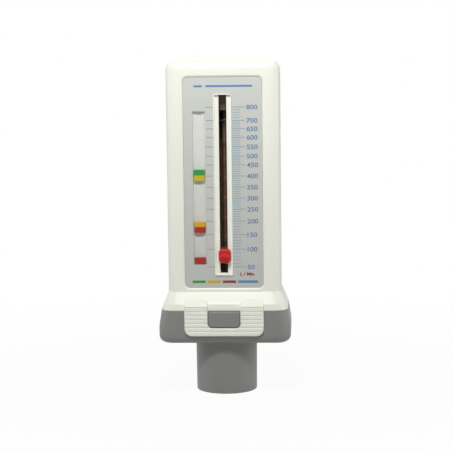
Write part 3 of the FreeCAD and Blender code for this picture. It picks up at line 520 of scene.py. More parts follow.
def cover_surface(c, recessed):
    """Shell of one casing half, drawn as the front one.

    Plan outlines are stacked from the skirt to the top; the top edge is a quarter round, and the top
    closes on the seam. The inner skin is the same with every half size less by the wall, and a strip
    round their rims joins the two. In the front one a rectangle is left out of both and filled by
    rings that run from the outer rectangle over a rounded lip into the recess and out to the inner one.
    """
    half_u, half_v, centre = recess_ring()
    arc, along_u, along_v = 8, 12, 36
    outer = c.recess_lip
    ring = ring_rows([half_u + outer], [half_v + outer], [c.recess_corner + outer], along_u, along_v, arc)
    ring_u, ring_v = ring[0][0], ring[1][0]
    core_u, core_v = half_u - c.recess_corner, half_v - c.recess_corner
    margin = 0.15
    square_u, square_v = half_u + outer + margin, half_v + outer + margin
    far_u = np.abs(ring_u) >= core_u - 1e-9
    far_v = np.abs(ring_v) >= core_v - 1e-9
    corner = far_u & far_v
    angle = np.arctan2(np.abs(ring_v) - core_v, np.abs(ring_u) - core_u) / (math.pi / 4)
    side_v = core_v + (square_v - core_v) * np.minimum(angle, 1)
    side_u = core_u + (square_u - core_u) * np.minimum(2 - angle, 1)
    box_u = np.copysign(np.where(corner, side_u, np.where(far_u, square_u, np.abs(ring_u))), ring_u)
    box_v = np.copysign(np.where(corner, side_v, np.where(far_v, square_v, np.abs(ring_v))), ring_v)
    front_x = np.unique(np.round(box_u[np.isclose(box_v, square_v)], 6))[::-1]
    body_z = np.unique(np.round(box_v[np.isclose(box_u, square_u)], 6)) + centre

    edge_z = c.skirt_low + np.array([0, 0.05, 0.14, 0.3])
    slope_z = np.linspace(c.skirt_low + 0.6, body_z[0], 36)[:-1]
    wall_z = np.concatenate([edge_z, slope_z, body_z])
    turn = np.linspace(0, math.pi / 2, 11)
    closing = np.array([0.3, 0.6, 0.85, 0.965, 0.98, 0.992, 1.0])
    top_y = (c.case_depth / 2 - c.top_round) * (1 - closing)

    def skin(wall):
        """Grid of one skin, set in by the wall, and the column at which its front starts."""
        half_x, half_y, radius = (size - wall for size in casing_sizes(c, wall_z))
        inset = wall + (c.top_round - wall) * (1 - np.cos(turn))
        top_x, top_radius = c.case_width / 2 - c.top_round, c.case_corner - c.top_round
        half_x = np.concatenate([half_x, c.case_width / 2 - inset, 0 * closing + top_x])
        half_y = np.concatenate([half_y, c.case_depth / 2 - inset, top_y])
        radius = np.concatenate([radius, c.case_corner - inset, np.minimum(top_radius, top_y)])
        z = np.concatenate([wall_z, c.case_top - c.top_round + (c.top_round - wall) * np.sin(turn),
                            0 * closing + c.case_top - wall])
        x, y, first = half_plan(half_x, half_y, radius, front_x)
        return level(x, y, z), first

    outside, first = skin(0.0)
    inside = skin(c.shell_wall)[0]
    rows, columns = outside.shape[:2]
    across, up = np.zeros(columns), np.zeros(rows)
    across[:3] = across[:-4:-1] = c.seam_round * np.array([1, 0.3, 0.06])
    up[:3] = up[:-4:-1] = c.seam_round * np.array([1, 0.3, 0.06])
    outside = ease(outside, np.maximum(up[:, None], across[None, :]))
    start = len(edge_z) + len(slope_z)
    skip = np.zeros((rows - 1, columns - 1), bool)
    if recessed:
        skip[start:start + len(body_z) - 1, first:first + len(front_x) - 1] = True
    surface = Surface().grid(outside, skip=skip).grid(inside, skip=skip)
    rim = [np.concatenate([g[0], g[1:, -1], g[-1, -2::-1], g[-2:0:-1, 0]]) for g in (outside, inside)]
    surface.grid(np.stack(rim), wrap_columns=True)
    if recessed:
        plate_face = -node_box("scale_plate")[0][1]
        deep = c.case_depth / 2 - plate_face
        fall = np.array([0, 0.02, 0.07, 0.16, 0.84, 0.93, 0.98, 1])
        out = outer * (1 - np.array([0, 0.06, 0.12, 0.2, 0.86, 0.94, 0.98, 1]))
        ring = ring_rows(half_u + out, half_v + out, c.recess_corner + out, along_u, along_v, arc)
        u = np.vstack([box_u, ring[0], ring[0][-1:], box_u])
        v = np.vstack([box_v, ring[1], ring[1][-1:], box_v])
        back = c.case_depth / 2 - c.shell_wall
        depth = np.concatenate([[c.case_depth / 2], c.case_depth / 2 - deep * fall, [back, back]])
        surface.grid(upright(u, v, -depth, centre), wrap_columns=True)
    return surface


class METER_OT_covers(bpy.types.Operator):
    """Make the casing's front and rear covers"""
    bl_idname = "meter.covers"
    bl_label = "Casing covers"

    def execute(self, context):
        c = in_mm(context.scene.meter_casing)
        white = materials()["moulded white ABS"]
        front = cover_surface(c, True).build("front_shell")
        rear = cover_surface(c, False).mirror_depth().build("rear_shell")
        for piece, node in ((front, "front_cover"), (rear, "rear_cover")):
            dress(piece, white, "casing", (node,))
        return {"FINISHED"}


# Base

class METER_OT_base(bpy.types.Operator):
    """Make the grey base with its mouthpiece spigot and lugs"""
    bl_idname = "meter.base"
    bl_label = "Base and spigot"

    def execute(self, context):
        b = in_mm(context.scene.meter_base)
        c = in_mm(context.scene.meter_casing)
        root_round, rim_round, bore_round = 0.5, 0.6, 0.35
        floor_top, collar_step = b.base_bottom + 2.4, b.base_bottom + 0.3
        seam_gap, rim_inset = 0.02, 2.4
        tongue_low, tongue_top = c.skirt_low - 1.1, c.skirt_low + 1.5
        tongue_inside, tongue_outside = 4.5, 3.2
        rows = []

        def add_rows(half_x, half_y, radius, z):
            """Take rows of the base's section, from the skirt down and back up inside."""
            rows.append(stacked(half_x, half_y, radius, z).reshape(-1, 4))

        # outside: the eased edge at the seam, the flare to the widest line and the upright wall
        z = np.concatenate([c.skirt_low - np.array([seam_gap, 0.08, 0.2]),
                            np.linspace(c.skirt_low - 0.5, b.base_bottom + b.base_round, 24)])
        eased = np.zeros(len(z))
        eased[:2] = 0.14, 0.04
        down, flare = c.skirt_low - z, c.skirt_low - b.base_mid
        bend = 1.3
        share = (soft_ramp(down, 0, 1e-3) - soft_ramp(down, flare, bend)) / flare
        half_x = c.skirt_width / 2 + (b.base_width - c.skirt_width) / 2 * share
        half_y = c.skirt_depth / 2 + (b.base_depth - c.skirt_depth) / 2 * share
        radius = c.skirt_corner + (b.base_corner - c.skirt_corner) * share
        add_rows(half_x - eased, half_y - eased, radius - eased, z)
        inset = b.base_round * EASE_IN[1:]
        add_rows(b.base_width / 2 - inset, b.base_depth / 2 - inset, b.base_corner - inset,
                 b.base_bottom + b.base_round * EASE_OUT[1:])
        # underside, spigot and its rim
        flat = np.linspace(0, 1, 4)[1:-1]
        root = b.spigot_radius + root_round
        ends = (b.base_width / 2, b.base_depth / 2, b.base_corner)
        add_rows(*((end - b.base_round) * (1 - flat) + root * flat for end in ends), b.base_bottom)
        fall = np.linspace(0, 1, 6)[1:]
        low = b.base_bottom - root_round
        for radius_here, height in (
                (b.spigot_radius + root_round * EASE_OUT, b.base_bottom - root_round * EASE_IN),
                (b.spigot_radius + (b.spigot_tip - b.spigot_radius) * fall, low + (rim_round - low) * fall),
                (b.spigot_tip - rim_round * EASE_IN[1:], rim_round * EASE_OUT[1:]),
                (b.spigot_bore + bore_round * EASE_OUT, bore_round * EASE_IN),
                # inside: the bore, its step, the collar and the floor round it
                (b.spigot_bore, b.base_bottom), (b.collar_bore, collar_step),
                (b.collar_bore, b.collar_top), (b.collar_radius, b.collar_top), (b.collar_radius, floor_top)):
            add_rows(radius_here, radius_here, radius_here, height)
        # inside of the wall and the tongue that enters the skirt
        wide = (b.base_width / 2, b.base_depth / 2, b.base_corner)
        narrow = (c.skirt_width / 2, c.skirt_depth / 2, c.skirt_corner)
        for plan, inset, height in ((wide, b.base_wall, floor_top), (wide, b.base_wall, b.base_mid),
                                    (narrow, tongue_inside, tongue_low), (narrow, tongue_inside, tongue_top),
                                    (narrow, tongue_outside, tongue_top),
                                    (narrow, rim_inset, c.skirt_low - seam_gap)):
            add_rows(*(size - inset for size in plan), height)
        section = np.vstack(rows)
        u, v = ring_rows(section[:, 0], section[:, 1], section[:, 2], 14, 8, 16)
        surface = Surface().grid(level(u, v, section[:, 3]), wrap_rows=True, wrap_columns=True)

        edge, rooted = 0.45, 1.0
        face = b.base_depth / 2 + b.lug_proud
        shrink = np.concatenate([[b.lug_corner], edge * EASE_OUT, [0.0]])
        back = np.concatenate([[0.0], edge * EASE_IN, [b.lug_proud + rooted]])
        half_w, half_h = b.lug_width / 2, (b.lug_top - b.lug_low) / 2
        u, v = ring_rows(half_w - shrink, half_h - shrink, np.maximum(b.lug_corner - shrink, 0.02), 10, 6, 8)
        for side in (-1, 1):
            lug = upright(u, v, side * (face - back), (b.lug_top + b.lug_low) / 2)
            surface.grid(lug, wrap_columns=True, caps=(0, -1))
        piece = surface.build("base_shell")
        dress(piece, materials()["moulded grey ABS"], "casing", ("base_housing",))
        return {"FINISHED"}


# Latches

def latch_surface(s):
    """Ridged U of one latch, drawn as the front one.

    Rows are level: each runs from the outer edge over one leg, the window and the other leg, and the
    edges are straight lines that end in arcs, x = x0 - r + root of (r squared - height squared). The
    face stands back near the outline by a quarter round of its distance to it, and below each ridge
    line by a tooth that starts with a step and thins out evenly; the back follows the flare.
    """
    outer_x, inner_x = s.latch_width / 2, s.window_width / 2
    fine = np.array([0, 0.03, 0.09, 0.18, 0.32, 0.5])

    def side_x(half, low, radius, z):
        """Half width of an outline with rounded lower corners."""
        held = np.clip(low + radius - z, 0, radius)
        return half - radius + np.sqrt(radius ** 2 - held ** 2)

    def inside(x, z, half, low, radius):
        """Distance to the same outline, above nought inside it."""
        along, down = np.abs(x) - half + radius, low + radius - z
        round_part = np.hypot(np.maximum(along, 0), np.maximum(down, 0))
        return radius - round_part - np.minimum(np.maximum(along, down), 0)

    step = 0.04
    ridge_z = s.ridge_top - s.ridge_pitch * np.arange(8)
    arc = 1 - np.cos(np.linspace(0, math.pi / 2, 15))
    z = np.concatenate([(ridge_z[:, None] - np.array([0, step, 0.2, s.groove, s.groove + 0.1])).ravel(),
                        s.latch_low + fine, s.latch_low + s.latch_corner * arc, s.window_low - fine,
                        s.window_low + s.window_corner * arc, np.linspace(s.latch_break, s.latch_tip, 12)])
    z = np.unique(np.round(z[(z >= s.latch_low) & (z <= s.latch_tip)], 4))[::-1]
    window_row = int(np.argmin(np.abs(z - s.window_low)))
    z = z[:, None]
    outer = side_x(outer_x, s.latch_low, s.latch_corner, z)
    inner = side_x(inner_x, s.window_low, s.window_corner, np.maximum(z, s.window_low))
    width = outer - inner
    middle = np.linspace(0, 1, 14)[1:-1]
    leg = np.hstack([outer - fine, outer - 0.5 - (width - 1) * middle, inner + fine[::-1]])
    window = inner * np.linspace(1, -1, 24)[1:-1]
    x = np.hstack([-leg, -window, leg[:, ::-1]])
    legs, columns = leg.shape[1], x.shape[1]
    z = np.broadcast_to(z, x.shape)

    near = np.minimum(inside(x, z, outer_x, s.latch_low, s.latch_corner),
                      -inside(x, z, inner_x, s.window_low, s.window_corner))
    held = s.latch_edge - np.clip(near, 0, s.latch_edge)
    edge = s.latch_edge - np.sqrt(s.latch_edge ** 2 - held ** 2)
    below = np.mod(s.ridge_top - z + 1e-6, s.ridge_pitch)
    thinning = np.clip(1 - (below - step) / (s.groove - step), 0, 1)
    tooth = s.ridge_depth * thinning * np.clip(below / step, 0, 1)
    tooth = np.where((z > s.ridge_top) | (z < s.ridge_top - 6.5 * s.ridge_pitch), 0.0, tooth)
    lean = np.clip((z - s.latch_break) / (s.latch_tip - s.latch_break), 0, 1)
    tip = s.tip_front + s.tip_thick
    front = s.latch_face + (tip - s.latch_face) * lean - tooth - edge * (1 - 0.6 * lean)
    back = np.interp(z, (s.back_low, s.back_bend, s.latch_tip), (s.latch_back, s.bend_depth, s.tip_front))
    skip = np.zeros((len(z) - 1, columns - 1), bool)
    skip[:window_row, legs - 1:columns - legs] = True
    surface, rims = Surface(), []
    for depth in (front, back):
        face = np.stack([x, -depth, z], axis=-1)
        surface.grid(face, skip=skip)
        other = columns - legs
        rims.append(np.concatenate([
            face[:-1, 0], face[-1, :-1], face[:0:-1, -1], face[0, :other:-1], face[:window_row, other],
            face[window_row, other:legs - 1:-1], face[window_row:0:-1, legs - 1], face[0, legs - 1:0:-1]]))
    surface.grid(np.stack(rims), wrap_columns=True)
    for side in (-1, 1):
        middle = side * (outer_x + inner_x) / 2
        half = (outer_x - inner_x) / 2 - 0.1
        turn = np.linspace(0, 2 * math.pi, 24, endpoint=False)
        ends = np.array([middle - half, middle + half])[:, None]
        knuckle = stacked(ends, -s.knuckle_depth + s.knuckle_radius * np.sin(turn),
                          s.knuckle_height + s.knuckle_radius * np.cos(turn))
        surface.grid(knuckle, wrap_columns=True, caps=(0, 1))
        web_y = -np.array([s.knuckle_depth, s.web_face, s.web_face, s.knuckle_depth])
        web_z = s.knuckle_height + s.knuckle_radius * np.array([-0.5, -0.5, 0.95, 0.95])
        surface.grid(stacked(ends, web_y, web_z), wrap_columns=True, caps=(0, 1))
    return surface


class METER_OT_latches(bpy.types.Operator):
    """Make the two ridged latches that hold the base"""
    bl_idname = "meter.latches"
    bl_label = "Latches"

    def execute(self, context):
        surface = latch_surface(in_mm(context.scene.meter_latch))
        white = materials()["moulded white ABS"]
        dress(surface.build("front_latch_shell", 28), white, "front_latch", ("front_latch",))
        dress(surface.mirror_depth().build("rear_latch_shell", 28), white, "rear_latch",
              ("rear_latch",))
        return {"FINISHED"}


# Scale: slot frame, plate, track and print

# Flow in litres per minute and height of its line in millimetres, as the scale's calibration gives it.
CALIBRATION = np.array([(50, 59.47), (100, 67.66), (150, 74.34), (200, 80.56), (250, 86.01), (300, 91.09),
                        (350, 96.15), (400, 101.24), (450, 106.3), (500, 110.3), (550, 114.49), (600, 118.81),
                        (650, 122.7), (700, 126.5), (800, 132.55)])


def line_height(flow):
    """Height of a flow's line, taken between the two calibrated flows beside it."""
    return np.interp(flow, CALIBRATION[:, 0], CALIBRATION[:, 1])


def bars_surface(bars, face, ink):
    """Printed bars: a thin block for each row of left, right, low, high, standing on the plate's face."""
    bars = np.asarray(bars, float)
    surface = Surface()
    corner = np.array([(0, 2), (1, 2), (1, 3), (0, 3)])
    for depth in (face, face - ink):
        points = np.empty((len(bars), 4, 3))
        points[..., 0] = bars[:, corner[:, 0]]
        points[..., 1] = depth
        points[..., 2] = bars[:, corner[:, 1]]
        surface.points.append(points.reshape(-1, 3))
    count = 4 * len(bars)
    start = np.arange(0, count, 4)[:, None]
    block = np.array([(0, 1, 2, 3), (7, 6, 5, 4), (0, 4, 5, 1), (1, 5, 6, 2), (2, 6, 7, 3), (3, 7, 4, 0)])
    shift = np.where(block > 3, count - 4, 0)
    surface.faces = (start[:, :, None] + (block + shift)[None]).reshape(-1, 4).tolist()
    surface.count = 2 * count
    return surface


def words_surface(words, face, ink):
    """Printed words: each entry is its text, height, left end, middle height, boldness and stretch."""
    surface = Surface()
    for text, height, left, middle, bold, stretch in words:
        curve = bpy.data.curves.new("words", "FONT")
        curve.body, curve.size, curve.extrude, curve.offset = text, 1.0, 0.5, bold
        curve.resolution_u = 4
        holder = bpy.data.objects.new("words", curve)
        bpy.context.scene.collection.objects.link(holder)
        drawn = holder.evaluated_get(bpy.context.evaluated_depsgraph_get()).to_mesh()
        points = np.zeros(len(drawn.vertices) * 3)
        drawn.vertices.foreach_get("co", points)
        points = points.reshape(-1, 3)
        low, high = points.min(0), points.max(0)
        scale = height / (high[1] - low[1])
        placed = stacked(left + (points[:, 0] - low[0]) * scale * stretch, face - ink * (points[:, 2] + 0.5),
                         middle + (points[:, 1] - (low[1] + high[1]) / 2) * scale)
        surface.points.append(placed)
        surface.faces += [[surface.count + i for i in face_of.vertices] for face_of in drawn.polygons]
        surface.count += len(placed)
        holder.to_mesh_clear()
        bpy.data.objects.remove(holder)
    return surface


def slot_surround_surface(s):
    """Raised frame round the pointer's slot.

    Rounded rectangles follow its section from the back over the outer edge, the rim and the ledge,
    and through the slot to the back again; each edge is a quarter round.
    """
    low, high = node_box("slot_frame")
    face, back = low[1], high[1]
    # the node's edge runs on behind the plate by the flange
    flange = 1.0
    outer_u, outer_v = (high[0] - low[0]) / 2 - flange, (high[2] - low[2]) / 2 - flange
    inner_u, inner_v = outer_u - s.rim, outer_v - s.rim
    slot_u, slot_v = s.slot_width / 2, (s.slot_top - s.slot_low) / 2
    centre, slot_centre = (high[2] + low[2]) / 2, (s.slot_top + s.slot_low) / 2
    ledge, ledge_wall = face + s.ledge, 0.15
    outer_corner, inner_corner, slot_corner = 0.35, 0.14, 0.1
    rim_edge, slot_edge = 0.14, 0.12
    near, far = rim_edge * EASE_IN, rim_edge * EASE_OUT
    slot_near, slot_far = slot_edge * EASE_IN, slot_edge * EASE_OUT
    # half width, half height, corner radius, depth and middle height
    rows = np.vstack([stacked(*part) for part in (
        (outer_u, outer_v, outer_corner, [back], centre),
        (outer_u - near, outer_v - near, outer_corner - near, face + far, centre),
        (inner_u + far, inner_v + far, inner_corner + far, face + near, centre),
        (inner_u, inner_v, inner_corner, [ledge - ledge_wall, ledge], centre),
        (slot_u + slot_far, slot_v + slot_far, slot_corner + slot_far, ledge + slot_near, slot_centre),
        (slot_u, slot_v, slot_corner, [back], slot_centre))])
    u, v = ring_rows(rows[:, 0], rows[:, 1], rows[:, 2], 6, 48, 4)
    return Surface().grid(upright(u, v + rows[:, 4:], rows[:, 3]), wrap_rows=True, wrap_columns=True)


def track_lip_surface(s, plate):
    """Thin rounded lip that lines the marker track's window, from the plate's face into the track."""
    marker_low, marker_high = node_box("lower_marker_red")
    low, high = node_box("marker_track")
    end_wall = 2.0
    half_u, half_v = s.window_width / 2, (high[2] - low[2]) / 2 - end_wall
    fall = np.array([0, 0.03, 0.1, 0.25, 0.6, 1.0, 1.0])
    out = np.array([0.02, 0.0, -0.05, -0.12, -0.2, -0.26, 0.02])
    lap, corner = 0.06, 0.06
    front_gap, back_gap, tucked = 0.02, 0.1, 0.9
    u, v = ring_rows(half_u + out, half_v + lap + 0 * out, corner + 0 * out, 4, 40, 6)
    depth = plate + front_gap + fall * (marker_high[1] - back_gap - plate)
    depth[-1] = plate + tucked
    points = upright(u, v, depth, (low[2] + high[2]) / 2, (marker_low[0] + marker_high[0]) / 2)
    return Surface().grid(points, wrap_columns=True)


class METER_OT_scale(bpy.types.Operator):
    """Make the slot frame and print the scale on its plate"""
    bl_idname = "meter.scale"
    bl_label = "Scale and slot frame"

    def execute(self, context):
        s = in_mm(context.scene.meter_scale)
        look = materials()
        paint_nodes(look["silver printed film"], "scale_plate")
        paint_nodes(look["pearl polystyrene"], "marker_track")
        dress(slot_surround_surface(s).build("slot_surround"), look["moulded white ABS"], "casing",
              ("slot_frame",))
        plate = node_box("scale_plate")[0][1]
        dress(track_lip_surface(s, plate).build("track_lip"), look["pearl polystyrene"], "casing")

        # lines at the numbers on both sides of the slot, shorter and thinner ones between them
        numbers = CALIBRATION[:, 0]
        tens = np.setdiff1d(np.concatenate([np.arange(50, 700, 10), np.arange(700, 801, 20)]), numbers)
        half, thin = s.tick / 2, s.tick / 2 * 0.8
        right, left, short = (4.25, 10.2), (-7.7, -4.3), (4.25, 7.9)
        lines = [(*side, z - half, z + half) for side in (right, left) for z in line_height(numbers)]
        tens_lines = [(*short, z - thin, z + thin) for z in line_height(tens)]
        drop, bold, bold_unit, stretch = 0.1, 0.02, 0.04, 1.16
        words = [(f"{flow:.0f}", s.digit_height, s.digit_left, z - drop, bold, stretch)
                 for flow, z in CALIBRATION]
        unit_left, unit_middle = 7.4, 56.15
        unit = [("L / Min", s.unit_height, unit_left, unit_middle, bold_unit, stretch)]
        # plain coloured bars at the plate's two ends
        top, foot = (141.6, 142.5), (52.0, 53.2)
        prints = [("scale_lines", "grey screen ink", bars_surface, lines),
                  ("scale_tens", "pale blue screen ink", bars_surface, tens_lines),
                  ("scale_numbers", "soft blue screen ink", words_surface, words),
                  ("scale_unit", "dark red screen ink", words_surface, unit),
                  ("top_bars", "blue screen ink", bars_surface, [(-7.6, 13.6, *top), (-13.0, -9.2, *top)]),
                  ("green_bar", "green screen ink", bars_surface, [(-14.6, -8.6, *foot)]),
                  ("amber_bar", "amber screen ink", bars_surface, [(-7.6, -1.6, *foot)]),
                  ("red_bar", "dark red screen ink", bars_surface, [(-0.6, 5.4, *foot)]),
                  ("blue_bar", "blue screen ink", bars_surface, [(6.4, 15.4, *foot)])]
        for name, ink, surface_of, content in prints:
            dress(surface_of(content, plate, s.ink).build(name), look[ink], "casing")
        return {"FINISHED"}


# Zone markers and pointer

def block_surface(half_u, half_v, radius, edge, face, back, centre_x, centre_z, relief, steps=18):
    """Rounded block seen from the front: rings shrink to its middle, and relief stands on its face.

    The face's edge is a quarter round, and relief is a function of x and z from the middle.
    """
    share = np.linspace(0.02, 1, steps)[:-1]
    shrink, least = edge * EASE_OUT, 0.05
    u_sizes = np.concatenate([(half_u - edge) * share, half_u - shrink, [half_u]])
    v_sizes = np.concatenate([(half_v - edge) * share, half_v - shrink, [half_v]])
    inner_r = max(radius - edge, least)
    r_sizes = np.concatenate([inner_r * share, np.maximum(radius - shrink, least), [radius]])
    depth = np.concatenate([0 * share, edge * EASE_IN, [face - back]])
    u, v = ring_rows(u_sizes, v_sizes, r_sizes, 16, 16, 10)
    fade = np.ones(len(depth))
    fade[len(share) + 1:] = 0
    y = -(face - depth)[:, None] - relief(u, v) * fade[:, None]
    return upright(u, v, y, centre_z, centre_x)


def chevron_relief(height):
    """Raised field between a roof line and a shallow V, as a function of x and z from the middle.

    Its height grows evenly below the roof line and falls off again above the V, and the face slopes
    back below that.
    """
    roof_top, roof_fall, roof_reach = 1.5, 0.58, 0.85
    notch_low, notch_rise, notch_reach = -1.55, 0.42, 0.45
    chin_slope, chin_reach = 0.3, 1.4

    def relief(x, z):
        roof = roof_top - roof_fall * np.abs(x)
        notch = notch_low + notch_rise * np.abs(x)
        field = height * np.clip((roof - z) / roof_reach, 0, 1) * np.clip((z - notch) / notch_reach, 0, 1)
        return field - chin_slope * np.clip(notch - z, 0, chin_reach)
    return relief


def marker_grooves(x, _):
    """Fine upright grooves in a marker's face: a cosine across it, the same at every height."""
    depth, pitch = 0.12, 1.25
    return -depth / 2 * (1 + np.cos(2 * math.pi * x / pitch))


class METER_OT_markers(bpy.types.Operator):
    """Make the zone markers that slide in their track"""
    bl_idname = "meter.markers"
    bl_label = "Zone markers"

    def execute(self, context):
        look = materials()
        for node, body, slot, finish_name in (
                ("upper_marker_green", "upper_marker", "green_marker", "green polypropylene"),
                ("upper_marker_yellow", "upper_marker", "yellow_marker", "yellow polypropylene"),
                ("middle_marker_amber", "middle_marker", "amber_marker", "amber polypropylene"),
                ("middle_marker_red", "middle_marker", "red_marker", "zone red polypropylene"),
                ("lower_marker_red", "lower_marker", "red_marker", "zone red polypropylene")):
            low, high = node_box(node)
            # the node's two sides are held behind the track's edges, so that the tab is narrower
            held, corner, edge = 0.75, 0.2, 0.12
            middle, half = (low + high) / 2, (high - low) / 2
            block = block_surface(half[0] - held, half[2], corner, edge, -low[1], -high[1],
                                  middle[0], middle[2], marker_grooves)
            piece = Surface().grid(block, wrap_columns=True, caps=(0, -1)).build(node + "_tab")
            dress(piece, look[finish_name], body, (node,))
        return {"FINISHED"}


class METER_OT_pointer(bpy.types.Operator):
    """Make the pointer's knob and its neck"""
    bl_idname = "meter.pointer"
    bl_label = "Pointer"

    def execute(self, context):
        p = in_mm(context.scene.meter_pointer)
        middle = p.knob_low + p.knob_height / 2
        block = block_surface(p.knob_width / 2, p.knob_height / 2, p.knob_corner, p.knob_edge, p.knob_face,
                              p.knob_back, p.knob_shift, middle, chevron_relief(p.chevron), 34)
        u, v = ring_rows([p.neck_width / 2] * 2, [p.neck_height / 2] * 2, [0.2] * 2, 16, 16, 10)
        neck = upright(u, v, [-p.knob_back, node_box("pointer_knob")[1][1]], middle)
        surface = Surface().grid(np.concatenate([block, neck]), wrap_columns=True, caps=(0, -1))
        dress(surface.build("pointer_grip"), materials()["red polypropylene"], "pointer",
              ("pointer_knob",))
        paint_nodes(materials()["black acetal"], "pointer_shoe")
        return {"FINISHED"}


# Mechanism inside the casing

class METER_OT_mechanism(bpy.types.Operator):
    """Finish the pieces inside and wind the return spring"""
    bl_idname = "meter.mechanism"
    bl_label = "Mechanism"

    def execute(self, context):
        look = materials()
        paint_nodes(look["brown acetal"], "barrel", "spring_seat")
        paint_nodes(look["black acetal"], "top_plug", "top_buffer")
        paint_nodes(look["blackened steel"], "guide_rod")
        paint_nodes(look["zinc plated steel"], "rod_nut")
        paint_nodes(look["silicone rubber"], "stop_washer", "seal_ring")
        paint_nodes(look["natural nylon"], "piston", "inlet_spider")
        s = in_mm(context.scene.meter_spring)
        low, high = node_box("return_spring")
        # helix: a circle of the coil's radius that rises evenly, with the wire's circle square to it
        turns, chords = 10, 28
        turn = np.linspace(0, 2 * math.pi * turns, turns * chords + 1)[:, None]
        start, end = low[2] + s.wire / 2, high[2] - s.wire / 2
        rise = (end - start) * turn / turn[-1] + start
        around = np.linspace(0, 2 * math.pi, 10, endpoint=False)[None, :]
        lean = math.atan2(end - start, 2 * math.pi * turns * s.coil_radius)
        out = s.coil_radius + s.wire / 2 * np.cos(around)
        across = s.wire / 2 * np.sin(around)
        coil = stacked(out * np.cos(turn) + across * math.sin(lean) * np.sin(turn),
                       out * np.sin(turn) - across * math.sin(lean) * np.cos(turn),
                       rise + across * math.cos(lean))
        piece = Surface().grid(coil, wrap_columns=True, caps=(0, -1)).build("return_coil", 60)
        dress(piece, look["blackened steel"], "casing", ("return_spring",))
        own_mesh(piece)
        return {"FINISHED"}


# Stage

def add_lamp(name, power, size, place, target):
    """Square area lamp at a place, turned to a target."""
    data = bpy.data.lights.new(name, "AREA")
    data.energy, data.size = power, size
    lamp = bpy.data.objects.new(name, data)
    lamp.location = place
    lamp.rotation_euler = (Vector(target) - Vector(place)).to_track_quat("-Z", "Y").to_euler()
    bpy.context.scene.collection.objects.link(lamp)


def seen_rays(tree):
    """One where the camera, a mirror image or a clear material looks, and nought for light on the object."""
    rays = add(tree, "ShaderNodeLightPath").outputs
    both = add(tree, "ShaderNodeMath", links={0: rays["Is Camera Ray"], 1: rays["Is Glossy Ray"]},
               attributes={"operation": "MAXIMUM"})
    return add(tree, "ShaderNodeMath", links={0: both.outputs[0], 1: rays["Is Transmission Ray"]},
               attributes={"operation": "MAXIMUM"}).outputs[0]


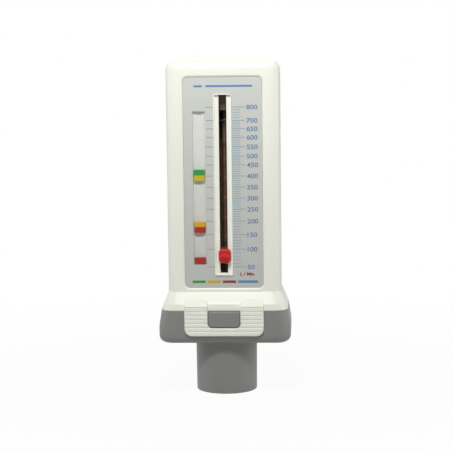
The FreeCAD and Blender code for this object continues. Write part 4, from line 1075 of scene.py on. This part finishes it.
class METER_OT_stage(bpy.types.Operator):
    """Set up the pale floor, the studio light and the camera"""
    bl_idname = "meter.stage"
    bl_label = "Stage"

    def execute(self, context):
        scene = context.scene
        stage = scene.meter_stage
        scene.view_settings.view_transform = "Standard"
        world = bpy.data.worlds.new("white room")
        scene.world = world
        world.use_nodes = True
        tree = world.node_tree
        tree.nodes.clear()
        white = (1.0, 1.0, 1.0, 1.0)
        room = add(tree, "ShaderNodeBackground",
                   {"Color": (1.0, 1.0, 0.99, 1.0), "Strength": stage.room_light})
        seen = add(tree, "ShaderNodeBackground", {"Color": white, "Strength": 1.0})
        mix = add(tree, "ShaderNodeMixShader",
                  links={0: seen_rays(tree), 1: room.outputs[0], 2: seen.outputs[0]})
        add(tree, "ShaderNodeOutputWorld", links={"Surface": mix.outputs[0]})

        # floor: rings round the meter, level and just under the spigot's rim
        below = 0.2
        ring = np.linspace(0.005, 900.0, 12)[:, None]
        turn = np.linspace(0, 2 * math.pi, 64, endpoint=False)[None, :]
        disc = stacked(ring * np.cos(turn), ring * np.sin(turn), -below)
        floor = Surface().grid(disc, wrap_columns=True).build("floor")
        paper = bpy.data.materials.new("white paper sweep")
        paper.use_nodes = True
        tree = paper.node_tree
        tree.nodes.clear()
        place = add(tree, "ShaderNodeTexCoord").outputs["Object"]
        distance = add(tree, "ShaderNodeVectorMath", links={0: place}, attributes={"operation": "LENGTH"})
        fade = add(tree, "ShaderNodeMapRange",
                   {"From Min": 0.05, "From Max": 0.3, "To Min": 0.95, "To Max": 1.0},
                   {"Value": distance.outputs["Value"]})
        paper_look = add(tree, "ShaderNodeBsdfDiffuse", {"Color": (0.7, 0.7, 0.7, 1.0)})
        glow = add(tree, "ShaderNodeEmission", {"Color": white, "Strength": 1.0})
        shown = add(tree, "ShaderNodeMixShader",
                    links={0: fade.outputs["Result"], 1: paper_look.outputs[0], 2: glow.outputs[0]})
        mix = add(tree, "ShaderNodeMixShader",
                  links={0: seen_rays(tree), 1: paper_look.outputs[0], 2: shown.outputs[0]})
        add(tree, "ShaderNodeOutputMaterial", links={"Surface": mix.outputs[0]})
        floor.data.materials.append(paper)

        add_lamp("key", stage.key_power, 0.06, (-0.01, -0.25, 0.335), (0, 0, 0.1))
        add_lamp("left side", stage.fill_power * 0.8, 0.3, (-0.42, 0.015, 0.18), (0, 0, 0.1))
        add_lamp("right side", stage.fill_power, 0.3, (0.42, 0.04, 0.16), (0, 0, 0.08))
        add_lamp("back", stage.fill_power * 1.4, 0.3, (0, 0.46, 0.3), (0, 0, 0.08))

        # the camera's axes, rolled a little about the way it looks
        target, place = Vector((0.00026, 0, 0.0768)), Vector((0.0376, -0.6684, 0.1472))
        forward = (target - place).normalized()
        right = forward.cross(Vector((0, 0, 1))).normalized()
        up = right.cross(forward)
        roll = math.radians(0.65)
        camera_right = right * math.cos(roll) - up * math.sin(roll)
        camera_up = right * math.sin(roll) + up * math.cos(roll)
        data = bpy.data.cameras.new("camera")
        data.lens, data.sensor_width, data.clip_start = stage.lens, 36.0, 0.01
        camera = bpy.data.objects.new("camera", data)
        turned = Matrix((camera_right, camera_up, -forward)).transposed().to_4x4()
        camera.matrix_world = Matrix.Translation(place) @ turned
        scene.collection.objects.link(camera)
        scene.camera = camera
        return {"FINISHED"}


class METER_PT_panel(bpy.types.Panel):
    """Sizes, colours and steps of the peak flow meter"""
    bl_idname = "METER_PT_panel"
    bl_label = "Peak Flow Meter"
    bl_space_type = "VIEW_3D"
    bl_region_type = "UI"
    bl_category = "Meter"

    def draw(self, context):
        for step in STEPS:
            self.layout.operator(step.bl_idname)
        for key, group in GROUPS.items():
            held = getattr(context.scene, key)
            column = self.layout.column(heading=key)
            for name in group.__annotations__:
                column.prop(held, name)


GROUPS = {"meter_casing": MeterCasingSizes, "meter_base": MeterBaseSizes, "meter_latch": MeterLatchSizes,
          "meter_scale": MeterScaleSizes, "meter_pointer": MeterPointerSizes,
          "meter_spring": MeterSpringSizes, "meter_colours": MeterColours, "meter_stage": MeterStage}
STEPS = (METER_OT_covers, METER_OT_base, METER_OT_latches, METER_OT_scale, METER_OT_markers, METER_OT_pointer,
         METER_OT_mechanism, METER_OT_stage)


def register():
    """Register the groups, the steps and the panel."""
    for made in (*GROUPS.values(), *STEPS, METER_PT_panel):
        bpy.utils.register_class(made)
    for key, group in GROUPS.items():
        setattr(bpy.types.Scene, key, bpy.props.PointerProperty(type=group))


def unregister():
    """Take everything out again."""
    for key in GROUPS:
        delattr(bpy.types.Scene, key)
    for made in reversed((*GROUPS.values(), *STEPS, METER_PT_panel)):
        bpy.utils.unregister_class(made)


def main():
    """Build the whole meter."""
    register()
    bpy.ops.meter.covers()
    bpy.ops.meter.base()
    bpy.ops.meter.latches()
    bpy.ops.meter.scale()
    bpy.ops.meter.markers()
    bpy.ops.meter.pointer()
    bpy.ops.meter.mechanism()
    bpy.ops.meter.stage()


if __name__ == "__main__":
    main()
